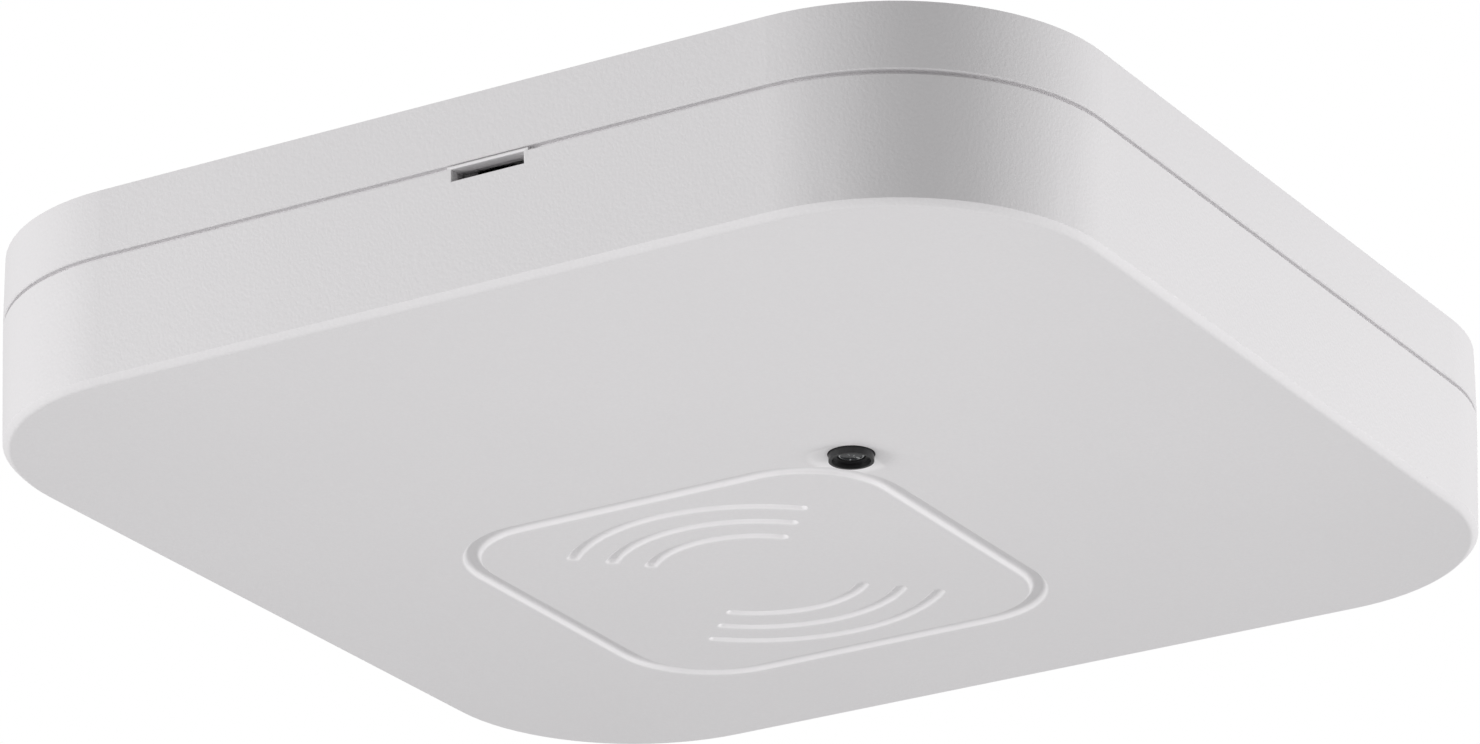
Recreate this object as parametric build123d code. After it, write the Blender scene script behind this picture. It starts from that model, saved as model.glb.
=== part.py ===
from build123d import *
import os
from math import cos, radians, sin, tan

# Square ceiling motion detector, in millimetres. A radar sensor looks out through the flat face,
# and a small light sensor shows beside its engraved panel. The origin is the middle of the face
# that rests on the ceiling. +Z points up into the ceiling, so the detector hangs below z = 0, and
# the wall with the release slot faces -Y.

# Case: outline, heights and walls
CASE_SIDE = 120.0
CASE_HEIGHT = 20.0
CASE_CORNER_R = 22.6
BASE_HEIGHT = 6.8
BASE_FLOOR = 2.0
COVER_WALL = 2.4
COVER_FACE = 2.2
COVER_DRAFT = 1.9
FACE_EDGE_R = 1.1
SEAM_EDGE = 0.12

# Lip of the base, and the cover's thin skirt that goes round it
SKIRT = 1.2
LIP_CLEARANCE = 0.2
LIP = 1.2
LIP_HEIGHT = 3.0
LIP_END_GAP = 0.3
SHADOW_GAP = 0.45
SHADOW_DEPTH = 0.75

# Release slot just under the cover's edge, on the -Y wall, and the break in the lip behind it
RELEASE_X = 7.2
RELEASE_WIDTH = 8.0
RELEASE_REACH = 1.68
RELEASE_BRIDGE = 0.35
RELEASE_TAB = 0.3
RELEASE_TAB_SIDE = 0.5
RELEASE_LIP_GAP = 0.4

# Snap hooks of the cover, one to a wall, and their pockets in the base
HOOK_WIDTH = 9.0
HOOK_THICKNESS = 1.4
HOOK_CLEARANCE = 0.3
HOOK_CATCH = 0.7
HOOK_NOSE = 1.8
CATCH_ABOVE_RIM = 0.4
POCKET_SPARE = 0.4

# Engraved panel and wave marks on the face
PANEL_X = -10.25
PANEL_Y = 17.9
PANEL_SIDE = 47.8
PANEL_CORNER_R = 10.0
PANEL_GROOVE = 1.8
PANEL_DEPTH = 0.6
PANEL_LEAN = 30.0
WAVE_FIRST_R = 11.2
WAVE_STEP = 4.1
WAVE_COUNT = 3
WAVE_SPAN = 88.0
WAVE_GROOVE = 1.3
WAVE_DEPTH = 0.5
WAVE_LEAN = 32.0

# Light sensor: black tube, clear guide and chip
TUBE_X = 14.46
TUBE_Y = -5.4
TUBE_R = 2.26
TUBE_BORE_R = 1.45
TUBE_PROUD = 0.44
TUBE_CUP_R = 1.96
TUBE_CUP = 0.5
TUBE_FOOT_SIDE = 6.8
TUBE_FOOT = 1.0
TUBE_HOLE_GAP = 0.12
GUIDE_GAP = 0.06
GUIDE_TIP = 0.2
DISH_R = 4.9
DISH_DEPTH = 0.3
SLEEVE_WALL = 1.0
SLEEVE_HEIGHT = 2.0
CHIP_LENGTH = 2.0
CHIP_WIDTH = 1.25
CHIP_HEIGHT = 0.8

# Screw fixings in the base
BOX_SCREW_SPACING = 60.0
BOX_SCREW_Y = -24.0
BOX_SLOT_LENGTH = 10.0
BOX_SLOT_WIDTH = 4.4
REAR_SCREW_SPACING = 90.0
REAR_SCREW_Y = 45.0
REAR_SCREW_HOLE_R = 2.25

# Rubber cable grommet
CABLE_IN = 20.0
GROMMET_BORE_R = 4.0
GROMMET_NECK_R = 6.4
GROMMET_FLANGE_R = 8.3
GROMMET_FLANGE = 0.8
GROMMET_INNER_FLANGE = 1.2
GROMMET_GAP = 0.1

# Stiffening ribs
RIB = 1.2
RIB_HEIGHT = 1.0
RIB_PITCH = 16.0
FLOOR_RIB_COUNT = 3
COVER_RIB_COUNT = 2

# Main board, its posts and its screws
BOARD_GAP = 5.4
BOARD_FRONT_Y = -14.0
BOARD_CHAMFER = 24.0
BOARD_THICKNESS = 1.6
STANDOFF = 3.0
POST_R = 3.0
PILOT_R = 1.5
PILOT_FLOOR_LEFT = 0.8
SCREW_SHANK_R = 1.45
SCREW_HOLE_GAP = 0.25
SCREW_HEAD_R = 2.8
SCREW_HEAD = 1.8
SCREW_TIP_GAP = 0.3
SCREW_SLOT = 0.8
SCREW_SLOT_LENGTH = 3.2
SCREW_SLOT_DEPTH = 0.9
SCREW_EDGE = 5.0
SCREW_BACK_IN = 5.5
SCREW_BACK_X = 12.0

# Radar board behind the panel, its screening can, spacers and pin header
RF_SIDE = 35.0
RF_THICKNESS = 1.0
RF_COVER_GAP = 1.4
CAN_LENGTH = 24.0
CAN_WIDTH = 18.0
CAN_HEIGHT = 2.6
CAN_SHEET = 0.3
CAN_EDGE = 0.4
SPACER_R = 2.2
SPACER_EDGE = 3.0
PIN = 0.64
PIN_GAP = 0.1
PIN_PITCH = 2.54
PIN_COUNT = 5
PIN_PROUD = 0.5
HEADER_WIDTH = 2.5
HEADER_HEIGHT = 2.5
HEADER_EDGE = 2.2

# Terminal block with push-in clamps and release buttons
TERMINAL_X = -10.0
POLE_COUNT = 4
POLE_PITCH = 7.2
TERMINAL_END = 1.2
TERMINAL_DEPTH = 11.0
TERMINAL_HEADROOM = 2.2
TERMINAL_EDGE = 0.4
PORT = 3.4
PORT_MOUTH = 0.6
PORT_LEAN = 30.0
PORT_HEIGHT = 3.2
CHAMBER_WIDTH = 4.6
CHAMBER_DEPTH = 6.0
CHAMBER_HEIGHT = 6.4
CHAMBER_BACK = 1.2
CLAMP_WIDTH = 3.6
CLAMP_SHEET = 0.4
CLAMP_LENGTH = 5.0
CLAMP_HEIGHT = 5.0
CLAMP_KNEE = 1.3
CLAMP_LEG_REACH = 0.9
CLAMP_LEG_DROP = 3.2
BUTTON_WIDTH = 2.4
BUTTON_DEPTH = 3.4
BUTTON_GAP = 0.15
BUTTON_PROUD = 1.4
BUTTON_FLANGE = 0.8
BUTTON_FLANGE_RIM = 0.5
BUTTON_GROOVE = 0.7
BUTTON_GROOVE_DEPTH = 0.3

# Setting dials
DIAL_NAMES = ("range_dial", "time_dial", "light_dial")
DIAL_PITCH = 10.5
DIAL_IN = 6.5
DIAL_Y = 3.0
DIAL_BODY = 9.6
DIAL_BODY_HEIGHT = 3.4
DIAL_R = 4.0
DIAL_HEIGHT = 2.8
DIAL_LIFT = 0.1
DIAL_PIN_R = 1.2
DIAL_PIN = 2.2
DIAL_BORE_GAP = 0.05
DIAL_BORE_SPARE = 0.3
DIAL_SLOT = 0.9
DIAL_SLOT_LENGTH = 5.2
DIAL_SLOT_DEPTH = 1.0
DIAL_POINTER = 1.6
DIAL_TOOTH = 0.35
DIAL_TEETH = 12

# Mode switch with four small sliders
DIP_Y = 14.5
DIP_COUNT = 4
DIP_PITCH = 2.54
DIP_END = 0.6
DIP_DEPTH = 6.2
DIP_HEIGHT = 3.4
DIP_SLOT_WIDTH = 1.5
DIP_SLOT_LENGTH = 3.6
DIP_SLOT_DEPTH = 1.5
DIP_SLIDER_GAP = 0.12
DIP_SLIDER_LENGTH = 1.6
DIP_SLIDER_PROUD = 0.6

# Power parts, each seated on the main board
RELAY_LENGTH = 20.0
RELAY_WIDTH = 10.0
RELAY_HEADROOM = 1.2
RELAY_EDGE = 0.5
RELAY_IN = 26.0
RELAY_Y = 32.0
TRANSFORMER_SIDE = 12.5
TRANSFORMER_BOBBIN = 3.0
TRANSFORMER_CORE = 5.0
TRANSFORMER_WINDING = 9.4
TRANSFORMER_CORE_LAP = 1.0
TRANSFORMER_HEADROOM = 1.6
TRANSFORMER_IN = 12.0
TRANSFORMER_Y = 26.0
FILM_LENGTH = 17.5
FILM_WIDTH = 6.4
FILM_HEADROOM = 0.8
FILM_EDGE = 0.5
FILM_IN = 15.0
FILM_Y = 8.0
SUPPLY_R = 4.0
SUPPLY_HEADROOM = 1.2
SUPPLY_IN = 14.0
SUPPLY_Y = 22.0
SUPPLY_PITCH = 9.0
SUPPLY_COUNT = 2
CHOKE_R = 4.2
CHOKE_HEADROOM = 2.2
CHOKE_IN = 5.8
CHOKE_Y = 11.5
VARISTOR_HEADROOM = 1.4
VARISTOR_THICKNESS = 4.2
VARISTOR_LEG = 1.2
VARISTOR_LEG_WIDTH = 0.7
VARISTOR_LEG_PITCH = 5.0
VARISTOR_IN = 5.8
VARISTOR_Y = 22.0
FUSE_R = 4.1
FUSE_HEIGHT = 7.8
FUSE_IN = 5.8
FUSE_Y = 0.5
RECTIFIER_LENGTH = 4.8
RECTIFIER_WIDTH = 4.0
RECTIFIER_HEIGHT = 2.5
RECTIFIER_LEFT_OF_PANEL = 11.5
PROCESSOR_SIDE = 7.0
PROCESSOR_HEIGHT = 1.2
PROCESSOR_X = 0.0
PROCESSOR_BACK_IN = 7.0
CHIP_EDGE = 0.2
RESISTOR_LENGTH = 2.0
RESISTOR_WIDTH = 1.25
RESISTOR_HEIGHT = 0.6
RESISTOR_PITCH = 4.0
RESISTOR_ROWS = 3
RESISTOR_COLUMNS = 4

# Extra length that carries a cut clear of the surface it opens
CUT = 1.0
STAND = (Align.CENTER, Align.CENTER, Align.MIN)

# Heights and places worked out from the sizes above
RIM_Z = -BASE_HEIGHT
CABLE_Y = CABLE_IN - CASE_SIDE / 2
FACE_Z = -CASE_HEIGHT
FLOOR_Z = -BASE_FLOOR
INNER_FACE_Z = FACE_Z + COVER_FACE
COVER_INSET = COVER_WALL + (CASE_HEIGHT - BASE_HEIGHT - COVER_FACE) * tan(radians(COVER_DRAFT))
LIP_INSET = SKIRT + LIP_CLEARANCE
BASE_WALL = LIP_INSET + LIP
LIP_END_Z = RIM_Z - LIP_HEIGHT
HOOK_INSET = BASE_WALL + HOOK_CLEARANCE
CATCH_Z = RIM_Z + CATCH_ABOVE_RIM
BOARD_BACK_Z = FLOOR_Z - STANDOFF
BOARD_FACE_Z = BOARD_BACK_Z - BOARD_THICKNESS
ROOM = BOARD_FACE_Z - INNER_FACE_Z
TERMINAL_HEIGHT = ROOM - TERMINAL_HEADROOM
RELAY_HEIGHT = ROOM - RELAY_HEADROOM
TRANSFORMER_HEIGHT = ROOM - TRANSFORMER_HEADROOM
FILM_HEIGHT = ROOM - FILM_HEADROOM
SUPPLY_HEIGHT = ROOM - SUPPLY_HEADROOM
CHOKE_HEIGHT = ROOM - CHOKE_HEADROOM
VARISTOR_R = (ROOM - VARISTOR_HEADROOM - VARISTOR_LEG) / 2
BOARD_RIGHT = CASE_SIDE / 2 - BASE_WALL - BOARD_GAP
BOARD_LEFT = -BOARD_RIGHT
BOARD_REAR = BOARD_RIGHT
RF_RISE = BOARD_FACE_Z - (INNER_FACE_Z + RF_COVER_GAP + RF_THICKNESS)
SCREW_PLACES = (
    (BOARD_LEFT + SCREW_EDGE, BOARD_FRONT_Y + SCREW_EDGE),
    (SCREW_BACK_X, BOARD_REAR - SCREW_BACK_IN),
)
REST_PLACES = (
    (BOARD_RIGHT - SCREW_EDGE, BOARD_FRONT_Y + SCREW_EDGE),
    (-SCREW_BACK_X, BOARD_REAR - SCREW_BACK_IN),
)
REAR_SCREW_PLACES = [(x * REAR_SCREW_SPACING / 2, REAR_SCREW_Y) for x in (-1, 1)]
BOX_SCREW_PLACES = [(x * BOX_SCREW_SPACING / 2, BOX_SCREW_Y) for x in (-1, 1)]
SPACER_PLACES = [
    (PANEL_X + x * (RF_SIDE / 2 - SPACER_EDGE), PANEL_Y + y * (RF_SIDE / 2 - SPACER_EDGE))
    for x in (-1, 1)
    for y in (-1, 1)
]
PIN_X = PANEL_X + RF_SIDE / 2 - HEADER_EDGE
PIN_PLACES = [
    (PIN_X, PANEL_Y + (i - (PIN_COUNT - 1) / 2) * PIN_PITCH) for i in range(PIN_COUNT)
]
POLE_OFFSETS = [(i - (POLE_COUNT - 1) / 2) * POLE_PITCH for i in range(POLE_COUNT)]
TERMINAL_Y = BOARD_FRONT_Y + TERMINAL_DEPTH / 2
CHAMBER_Y = CHAMBER_BACK + CHAMBER_DEPTH / 2 - TERMINAL_DEPTH / 2
DIAL_PLACES = [
    (BOARD_RIGHT - DIAL_IN - (len(DIAL_NAMES) - 1 - i) * DIAL_PITCH, DIAL_Y)
    for i in range(len(DIAL_NAMES))
]
DIP_X = DIAL_PLACES[1][0]
DIP_OFFSETS = [(i - (DIP_COUNT - 1) / 2) * DIP_PITCH for i in range(DIP_COUNT)]
DIP_TRAVEL = DIP_SLOT_LENGTH - DIP_SLIDER_LENGTH - 2 * DIP_SLIDER_GAP


def brick(x_span, y_span, z_span):
    """A block between two limits on each axis."""
    spans = (x_span, y_span, z_span)
    sizes = [high - low for low, high in spans]
    low_corner = [low for low, high in spans]
    return Pos(*low_corner) * Box(*sizes, align=(Align.MIN, Align.MIN, Align.MIN))


def post(x, y, radius, z_low, z_high):
    """An upright cylinder between two heights."""
    return Pos(x, y, z_low) * Cylinder(radius, z_high - z_low, align=STAND)


def moulded_block(length, width, height, edge):
    """A block that stands on z = 0, with every edge taken off but those of its foot."""
    block = Box(length, width, height, align=STAND)
    return chamfer(block.edges() - block.edges().group_by(Axis.Z)[0], edge)


def on_board(x, y, piece):
    """Hang a piece, drawn standing on z = 0, from the component side of the main board."""
    return Pos(x, y, BOARD_FACE_Z) * Rot(180, 0, 0) * piece


def case_prism(inset, z_low, z_high):
    """The case's outline, drawn in all round by inset, between two heights."""
    side = CASE_SIDE - 2 * inset
    outline = RectangleRounded(side, side, CASE_CORNER_R - inset)
    return Pos(0, 0, z_low) * extrude(outline, z_high - z_low)


def cover_prism(inset, z_low, z_high):
    """The cover's form, which draws in towards the face, between two heights."""
    low_inset = inset + (RIM_Z - z_low) * tan(radians(COVER_DRAFT))
    side = CASE_SIDE - 2 * low_inset
    outline = RectangleRounded(side, side, CASE_CORNER_R - low_inset)
    return Pos(0, 0, z_low) * extrude(outline, z_high - z_low, taper=-COVER_DRAFT)


def snap_places():
    """One frame to a wall, at the wall's foot, with +Y pointing into the case."""
    shifts = {0: RELEASE_X, 90: 0.0, 180: 0.0, 270: 0.0}
    return [Rot(0, 0, turn) * Pos(x, -CASE_SIDE / 2, 0) for turn, x in shifts.items()]


def base_housing():
    """The part that stays on the ceiling: broken lip, posts, board rests, ribs and pockets."""
    body = case_prism(0, RIM_Z, 0)
    body = chamfer(body.edges().group_by(Axis.Z)[0], SEAM_EDGE)
    body += case_prism(LIP_INSET, LIP_END_Z, FLOOR_Z)
    body -= case_prism(BASE_WALL, LIP_END_Z - CUT, FLOOR_Z)

    room = case_prism(BASE_WALL - LIP / 2, FLOOR_Z - RIB_HEIGHT, FLOOR_Z)
    half = CASE_SIDE / 2
    for i in range(FLOOR_RIB_COUNT):
        y = BOARD_FRONT_Y + (i + 1) * RIB_PITCH
        body += room & brick((-half, half), (y - RIB / 2, y + RIB / 2), (-CASE_HEIGHT, 0))

    for x, y in SCREW_PLACES:
        body += post(x, y, POST_R, BOARD_BACK_Z, FLOOR_Z)
    cross = Box(POST_R * 2, RIB, STANDOFF, align=STAND) + Box(RIB, POST_R * 2, STANDOFF, align=STAND)
    for x, y in REST_PLACES:
        body += Pos(x, y, BOARD_BACK_Z) * cross

    for x, y in SCREW_PLACES:
        body -= post(x, y, PILOT_R, BOARD_BACK_Z - CUT, -PILOT_FLOOR_LEFT)
    for x, y in REAR_SCREW_PLACES:
        body -= post(x, y, REAR_SCREW_HOLE_R, FLOOR_Z - CUT, CUT)
    slot = extrude(SlotOverall(BOX_SLOT_LENGTH, BOX_SLOT_WIDTH), BASE_FLOOR + 2 * CUT)
    for x, y in BOX_SCREW_PLACES:
        body -= Pos(x, y, FLOOR_Z - CUT) * slot
    body -= post(0, CABLE_Y, GROMMET_FLANGE_R + GROMMET_GAP, -GROMMET_FLANGE, CUT)
    body -= post(0, CABLE_Y, GROMMET_NECK_R + GROMMET_GAP, FLOOR_Z - CUT, CUT)

    half_pocket = HOOK_WIDTH / 2 + POCKET_SPARE
    pocket = brick(
        (-half_pocket, half_pocket),
        (HOOK_INSET - HOOK_CLEARANCE - HOOK_CATCH - POCKET_SPARE / 2, BASE_WALL + CUT),
        (CATCH_Z, CATCH_Z + HOOK_NOSE + POCKET_SPARE),
    )
    for place in snap_places():
        body -= place * pocket

    break_x = (RELEASE_X - RELEASE_WIDTH / 2 - RELEASE_LIP_GAP, RELEASE_X + RELEASE_WIDTH / 2 + RELEASE_LIP_GAP)
    break_y = (-half, -half + BASE_WALL + CUT)
    return body - brick(break_x, break_y, (LIP_END_Z - CUT, RIM_Z))


def cable_grommet():
    """Rubber grommet that grips the edge of the cable hole and lies flush with the ceiling."""
    grommet = post(0, 0, GROMMET_FLANGE_R, -GROMMET_FLANGE, 0)
    grommet += post(0, 0, GROMMET_NECK_R, FLOOR_Z, -GROMMET_FLANGE)
    grommet += post(0, 0, GROMMET_FLANGE_R, FLOOR_Z - GROMMET_INNER_FLANGE, FLOOR_Z)
    grommet -= post(0, 0, GROMMET_BORE_R, FLOOR_Z - GROMMET_INNER_FLANGE - CUT, CUT)
    return Pos(0, CABLE_Y, 0) * grommet


def front_cover():
    """The cover: drawn-in walls, skirt, shadow gap, release slot, engraved face and sensor hole."""
    edge_z = RIM_Z - SHADOW_GAP
    body = round_face_edge(cover_prism(0, FACE_Z, edge_z))
    body += case_prism(SHADOW_DEPTH, edge_z - CUT, RIM_Z)
    body -= case_prism(COVER_INSET, INNER_FACE_Z, RIM_Z)
    body -= case_prism(SKIRT, LIP_END_Z - LIP_END_GAP, RIM_Z + CUT)

    half = CASE_SIDE / 2
    rib_top = INNER_FACE_Z + RIB_HEIGHT
    for i in range(COVER_RIB_COUNT):
        y = BOARD_FRONT_Y - (i + 0.5) * RIB_PITCH
        rib = brick((-half, half), (y - RIB / 2, y + RIB / 2), (INNER_FACE_Z, rib_top))
        body += rib & case_prism(COVER_INSET - COVER_WALL / 2, INNER_FACE_Z, RIM_Z)

    hole_r = TUBE_R + TUBE_HOLE_GAP
    body += post(TUBE_X, TUBE_Y, hole_r + SLEEVE_WALL, INNER_FACE_Z, INNER_FACE_Z + SLEEVE_HEIGHT)
    body -= post(TUBE_X, TUBE_Y, hole_r, FACE_Z - CUT, INNER_FACE_Z + SLEEVE_HEIGHT + CUT)
    body -= Pos(TUBE_X, TUBE_Y, FACE_Z) * Cone(DISH_R, hole_r, DISH_DEPTH, align=STAND)

    slot_x = (RELEASE_X - RELEASE_WIDTH / 2, RELEASE_X + RELEASE_WIDTH / 2)
    slot_y = (-half - CUT, -half + LIP_INSET)
    tab_x = (slot_x[0] - RELEASE_TAB_SIDE, slot_x[1] + RELEASE_TAB_SIDE)
    tab_z = edge_z + RELEASE_TAB
    body += brick(tab_x, (-half, -half + SHADOW_DEPTH), (edge_z - CUT, tab_z))
    body -= brick(slot_x, slot_y, (RIM_Z - RELEASE_REACH, tab_z - RELEASE_BRIDGE))

    body -= panel_groove()
    for groove in wave_grooves():
        body -= groove
    return body


def round_face_edge(body):
    """Rounds the lowest edge in three flats that all touch the same arc, to keep facets few."""
    eighth, sixteenth = tan(radians(22.5)), tan(radians(11.25))
    body = chamfer(body.edges().group_by(Axis.Z)[0], FACE_EDGE_R * (1 - eighth))
    loops = body.edges().group_by(Axis.Z)
    return chamfer(loops[0] + loops[1], FACE_EDGE_R * (eighth - sixteenth))


def engraving(outline, depth, lean):
    """Cutter for a groove in the face, whose walls lean in towards the bed."""
    return Pos(0, 0, FACE_Z) * extrude(outline, depth, taper=lean)


def panel_groove():
    """The rounded square groove round the radar window."""
    outer = RectangleRounded(
        PANEL_SIDE + PANEL_GROOVE, PANEL_SIDE + PANEL_GROOVE, PANEL_CORNER_R + PANEL_GROOVE / 2
    )
    inner = RectangleRounded(
        PANEL_SIDE - PANEL_GROOVE, PANEL_SIDE - PANEL_GROOVE, PANEL_CORNER_R - PANEL_GROOVE / 2
    )
    return Pos(PANEL_X, PANEL_Y, 0) * engraving(outer - inner, PANEL_DEPTH, PANEL_LEAN)


def wave_grooves():
    """Radio wave arcs, the same number on each side of the panel's middle."""
    grooves = []
    for i in range(WAVE_COUNT):
        for middle in (-90, 90):
            arc = CenterArc((0, 0), WAVE_FIRST_R + i * WAVE_STEP, middle - WAVE_SPAN / 2, WAVE_SPAN)
            groove = engraving(SlotArc(arc, WAVE_GROOVE), WAVE_DEPTH, WAVE_LEAN)
            grooves.append(Pos(PANEL_X, PANEL_Y, 0) * groove)
    return grooves


def cover_snap_hooks():
    """The cover's four spring hooks, each caught in its pocket in the base."""
    half = HOOK_WIDTH / 2
    tip_z = CATCH_Z + HOOK_NOSE
    arm = brick((-half, half), (HOOK_INSET, HOOK_INSET + HOOK_THICKNESS), (INNER_FACE_Z, tip_z))
    reach = HOOK_CLEARANCE + HOOK_CATCH
    nose = Polygon(
        (HOOK_INSET, CATCH_Z), (HOOK_INSET - reach, CATCH_Z), (HOOK_INSET, tip_z), align=None
    )
    hook = arm + extrude(Plane.YZ * nose, half, both=True)
    return Part() + [place * hook for place in snap_places()]


def main_board():
    """The circuit board that carries the power parts, with its rear corners cut off."""
    width = BOARD_RIGHT - BOARD_LEFT
    depth = BOARD_REAR - BOARD_FRONT_Y
    plate = brick((-width / 2, width / 2), (0, depth), (BOARD_FACE_Z, BOARD_BACK_Z))
    rear_corners = plate.edges().filter_by(Axis.Z).group_by(Axis.Y)[-1]
    board = Pos(0, BOARD_FRONT_Y, 0) * chamfer(rear_corners, BOARD_CHAMFER)
    low, high = BOARD_FACE_Z - CUT, BOARD_BACK_Z + CUT
    for x, y in SCREW_PLACES:
        board -= post(x, y, SCREW_SHANK_R + SCREW_HOLE_GAP, low, high)
    return board


def board_screws():
    """Pan head screws that hold the board to its posts, threads left out."""
    shank_length = BOARD_THICKNESS + STANDOFF + BASE_FLOOR - PILOT_FLOOR_LEFT - SCREW_TIP_GAP
    head = Cylinder(SCREW_HEAD_R, SCREW_HEAD, align=STAND)
    arm = Box(SCREW_SLOT_LENGTH, SCREW_SLOT, 2 * SCREW_SLOT_DEPTH)
    for turn in (0, 90):
        head -= Pos(0, 0, SCREW_HEAD) * Rot(0, 0, turn) * arm
    screw = head + post(0, 0, SCREW_SHANK_R, -shank_length, 0)
    return Part() + [on_board(x, y, screw) for x, y in SCREW_PLACES]


def terminal_block():
    """Moulded block with a wire port, a clamp chamber and a button slot for each pole."""
    length = POLE_COUNT * POLE_PITCH + 2 * TERMINAL_END
    block = moulded_block(length, TERMINAL_DEPTH, TERMINAL_HEIGHT, TERMINAL_EDGE)
    front = TERMINAL_DEPTH / 2
    chamber = Box(CHAMBER_WIDTH, CHAMBER_DEPTH, CHAMBER_HEIGHT + CUT, align=STAND)
    slot = Box(
        BUTTON_WIDTH + 2 * BUTTON_GAP, BUTTON_DEPTH + 2 * BUTTON_GAP, TERMINAL_HEIGHT, align=STAND
    )
    port = extrude(Plane.XZ * Rectangle(PORT, PORT), front - CHAMBER_Y)
    grown = PORT + 2 * PORT_MOUTH * tan(radians(PORT_LEAN))
    mouth = extrude(Plane.XZ * Rectangle(grown, grown), PORT_MOUTH, taper=PORT_LEAN)
    for x in POLE_OFFSETS:
        block -= Pos(x, CHAMBER_Y, -CUT) * chamber
        block -= Pos(x, CHAMBER_Y, CHAMBER_HEIGHT - CUT) * slot
        block -= Pos(x, front, PORT_HEIGHT) * port
        block -= Pos(x, front, PORT_HEIGHT) * mouth
    return on_board(TERMINAL_X, TERMINAL_Y, block)


def terminal_clamp(x):
    """A bent spring strip on the board that grips the wire and lies under its button."""
    front = CLAMP_LENGTH / 2
    knee = front - CLAMP_KNEE
    inner_top = CLAMP_HEIGHT - CLAMP_SHEET
    leg_z = CLAMP_HEIGHT - CLAMP_LEG_DROP
    strip = Polygon(
        (front, 0),
        (front, CLAMP_SHEET),
        (CLAMP_SHEET - front, CLAMP_SHEET),
        (CLAMP_SHEET - front, inner_top),
        (knee - CLAMP_SHEET / 2, inner_top),
        (knee + CLAMP_LEG_REACH - CLAMP_SHEET, leg_z),
        (knee + CLAMP_LEG_REACH, leg_z),
        (knee, CLAMP_HEIGHT),
        (-front, CLAMP_HEIGHT),
        (-front, 0),
        align=None,
    )
    clamp = extrude(Plane.YZ * strip, CLAMP_WIDTH / 2, both=True)
    return on_board(TERMINAL_X + x, TERMINAL_Y, Pos(0, CHAMBER_Y, 0) * clamp)


def terminal_button(x):
    """A release button, held in by the flange at its foot."""
    foot = CHAMBER_HEIGHT - BUTTON_FLANGE
    rim = 2 * BUTTON_FLANGE_RIM
    flange = Box(BUTTON_WIDTH + rim, BUTTON_DEPTH + rim, BUTTON_FLANGE, align=STAND)
    rise = TERMINAL_HEIGHT + BUTTON_PROUD - foot
    stem = Box(BUTTON_WIDTH, BUTTON_DEPTH, rise, align=STAND)
    stem -= Pos(0, 0, rise) * Box(BUTTON_WIDTH + CUT, BUTTON_GROOVE, 2 * BUTTON_GROOVE_DEPTH)
    button = Pos(0, CHAMBER_Y, foot) * (flange + stem)
    return on_board(TERMINAL_X + x, TERMINAL_Y, button)


def relay():
    """Low sealed relay that switches the lamp."""
    case = moulded_block(RELAY_WIDTH, RELAY_LENGTH, RELAY_HEIGHT, RELAY_EDGE)
    return on_board(BOARD_RIGHT - RELAY_IN, RELAY_Y, case)


def supply_transformer():
    """Small supply transformer: bobbin flange, winding and the core that wraps them."""
    side = TRANSFORMER_SIDE
    body = Box(side, side, TRANSFORMER_BOBBIN, align=STAND)
    wound_height = TRANSFORMER_HEIGHT - TRANSFORMER_CORE_LAP
    body += Box(TRANSFORMER_WINDING, side - TRANSFORMER_CORE_LAP, wound_height, align=STAND)
    body += Box(side, TRANSFORMER_CORE, TRANSFORMER_HEIGHT, align=STAND)
    return on_board(BOARD_RIGHT - TRANSFORMER_IN, TRANSFORMER_Y, body)


def suppression_capacitor():
    """Boxed film capacitor across the mains."""
    case = moulded_block(FILM_WIDTH, FILM_LENGTH, FILM_HEIGHT, FILM_EDGE)
    return on_board(BOARD_LEFT + FILM_IN, FILM_Y, case)


def supply_capacitors():
    """Round electrolytic cans in a row."""
    body = Cylinder(SUPPLY_R, SUPPLY_HEIGHT, align=STAND)
    row = [SUPPLY_Y + i * SUPPLY_PITCH for i in range(SUPPLY_COUNT)]
    return Part() + [on_board(BOARD_LEFT + SUPPLY_IN, y, body) for y in row]


def mains_choke():
    """Drum choke in a shrink sleeve."""
    drum = Cylinder(CHOKE_R, CHOKE_HEIGHT, align=STAND)
    return on_board(BOARD_LEFT + CHOKE_IN, CHOKE_Y, drum)


def surge_varistor():
    """Disc that takes surges, standing on its two legs."""
    disc = Rot(0, 90, 0) * Cylinder(VARISTOR_R, VARISTOR_THICKNESS)
    body = Pos(0, 0, VARISTOR_R + VARISTOR_LEG) * disc
    leg = Box(VARISTOR_LEG_WIDTH, VARISTOR_LEG_WIDTH, VARISTOR_R + VARISTOR_LEG, align=STAND)
    for side in (-1, 1):
        body += Pos(0, side * VARISTOR_LEG_PITCH / 2, 0) * leg
    return on_board(BOARD_LEFT + VARISTOR_IN, VARISTOR_Y, body)


def fuse():
    """Round plug-in style fuse."""
    body = Cylinder(FUSE_R, FUSE_HEIGHT, align=STAND)
    return on_board(BOARD_LEFT + FUSE_IN, FUSE_Y, body)


def rectifier():
    """Bridge rectifier chip."""
    body = moulded_block(RECTIFIER_LENGTH, RECTIFIER_WIDTH, RECTIFIER_HEIGHT, CHIP_EDGE)
    return on_board(PANEL_X - RECTIFIER_LEFT_OF_PANEL, PANEL_Y, body)


def processor_chip():
    """Flat square processor at the rear edge of the board."""
    body = moulded_block(PROCESSOR_SIDE, PROCESSOR_SIDE, PROCESSOR_HEIGHT, CHIP_EDGE)
    return on_board(PROCESSOR_X, BOARD_REAR - PROCESSOR_BACK_IN, body)


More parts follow.
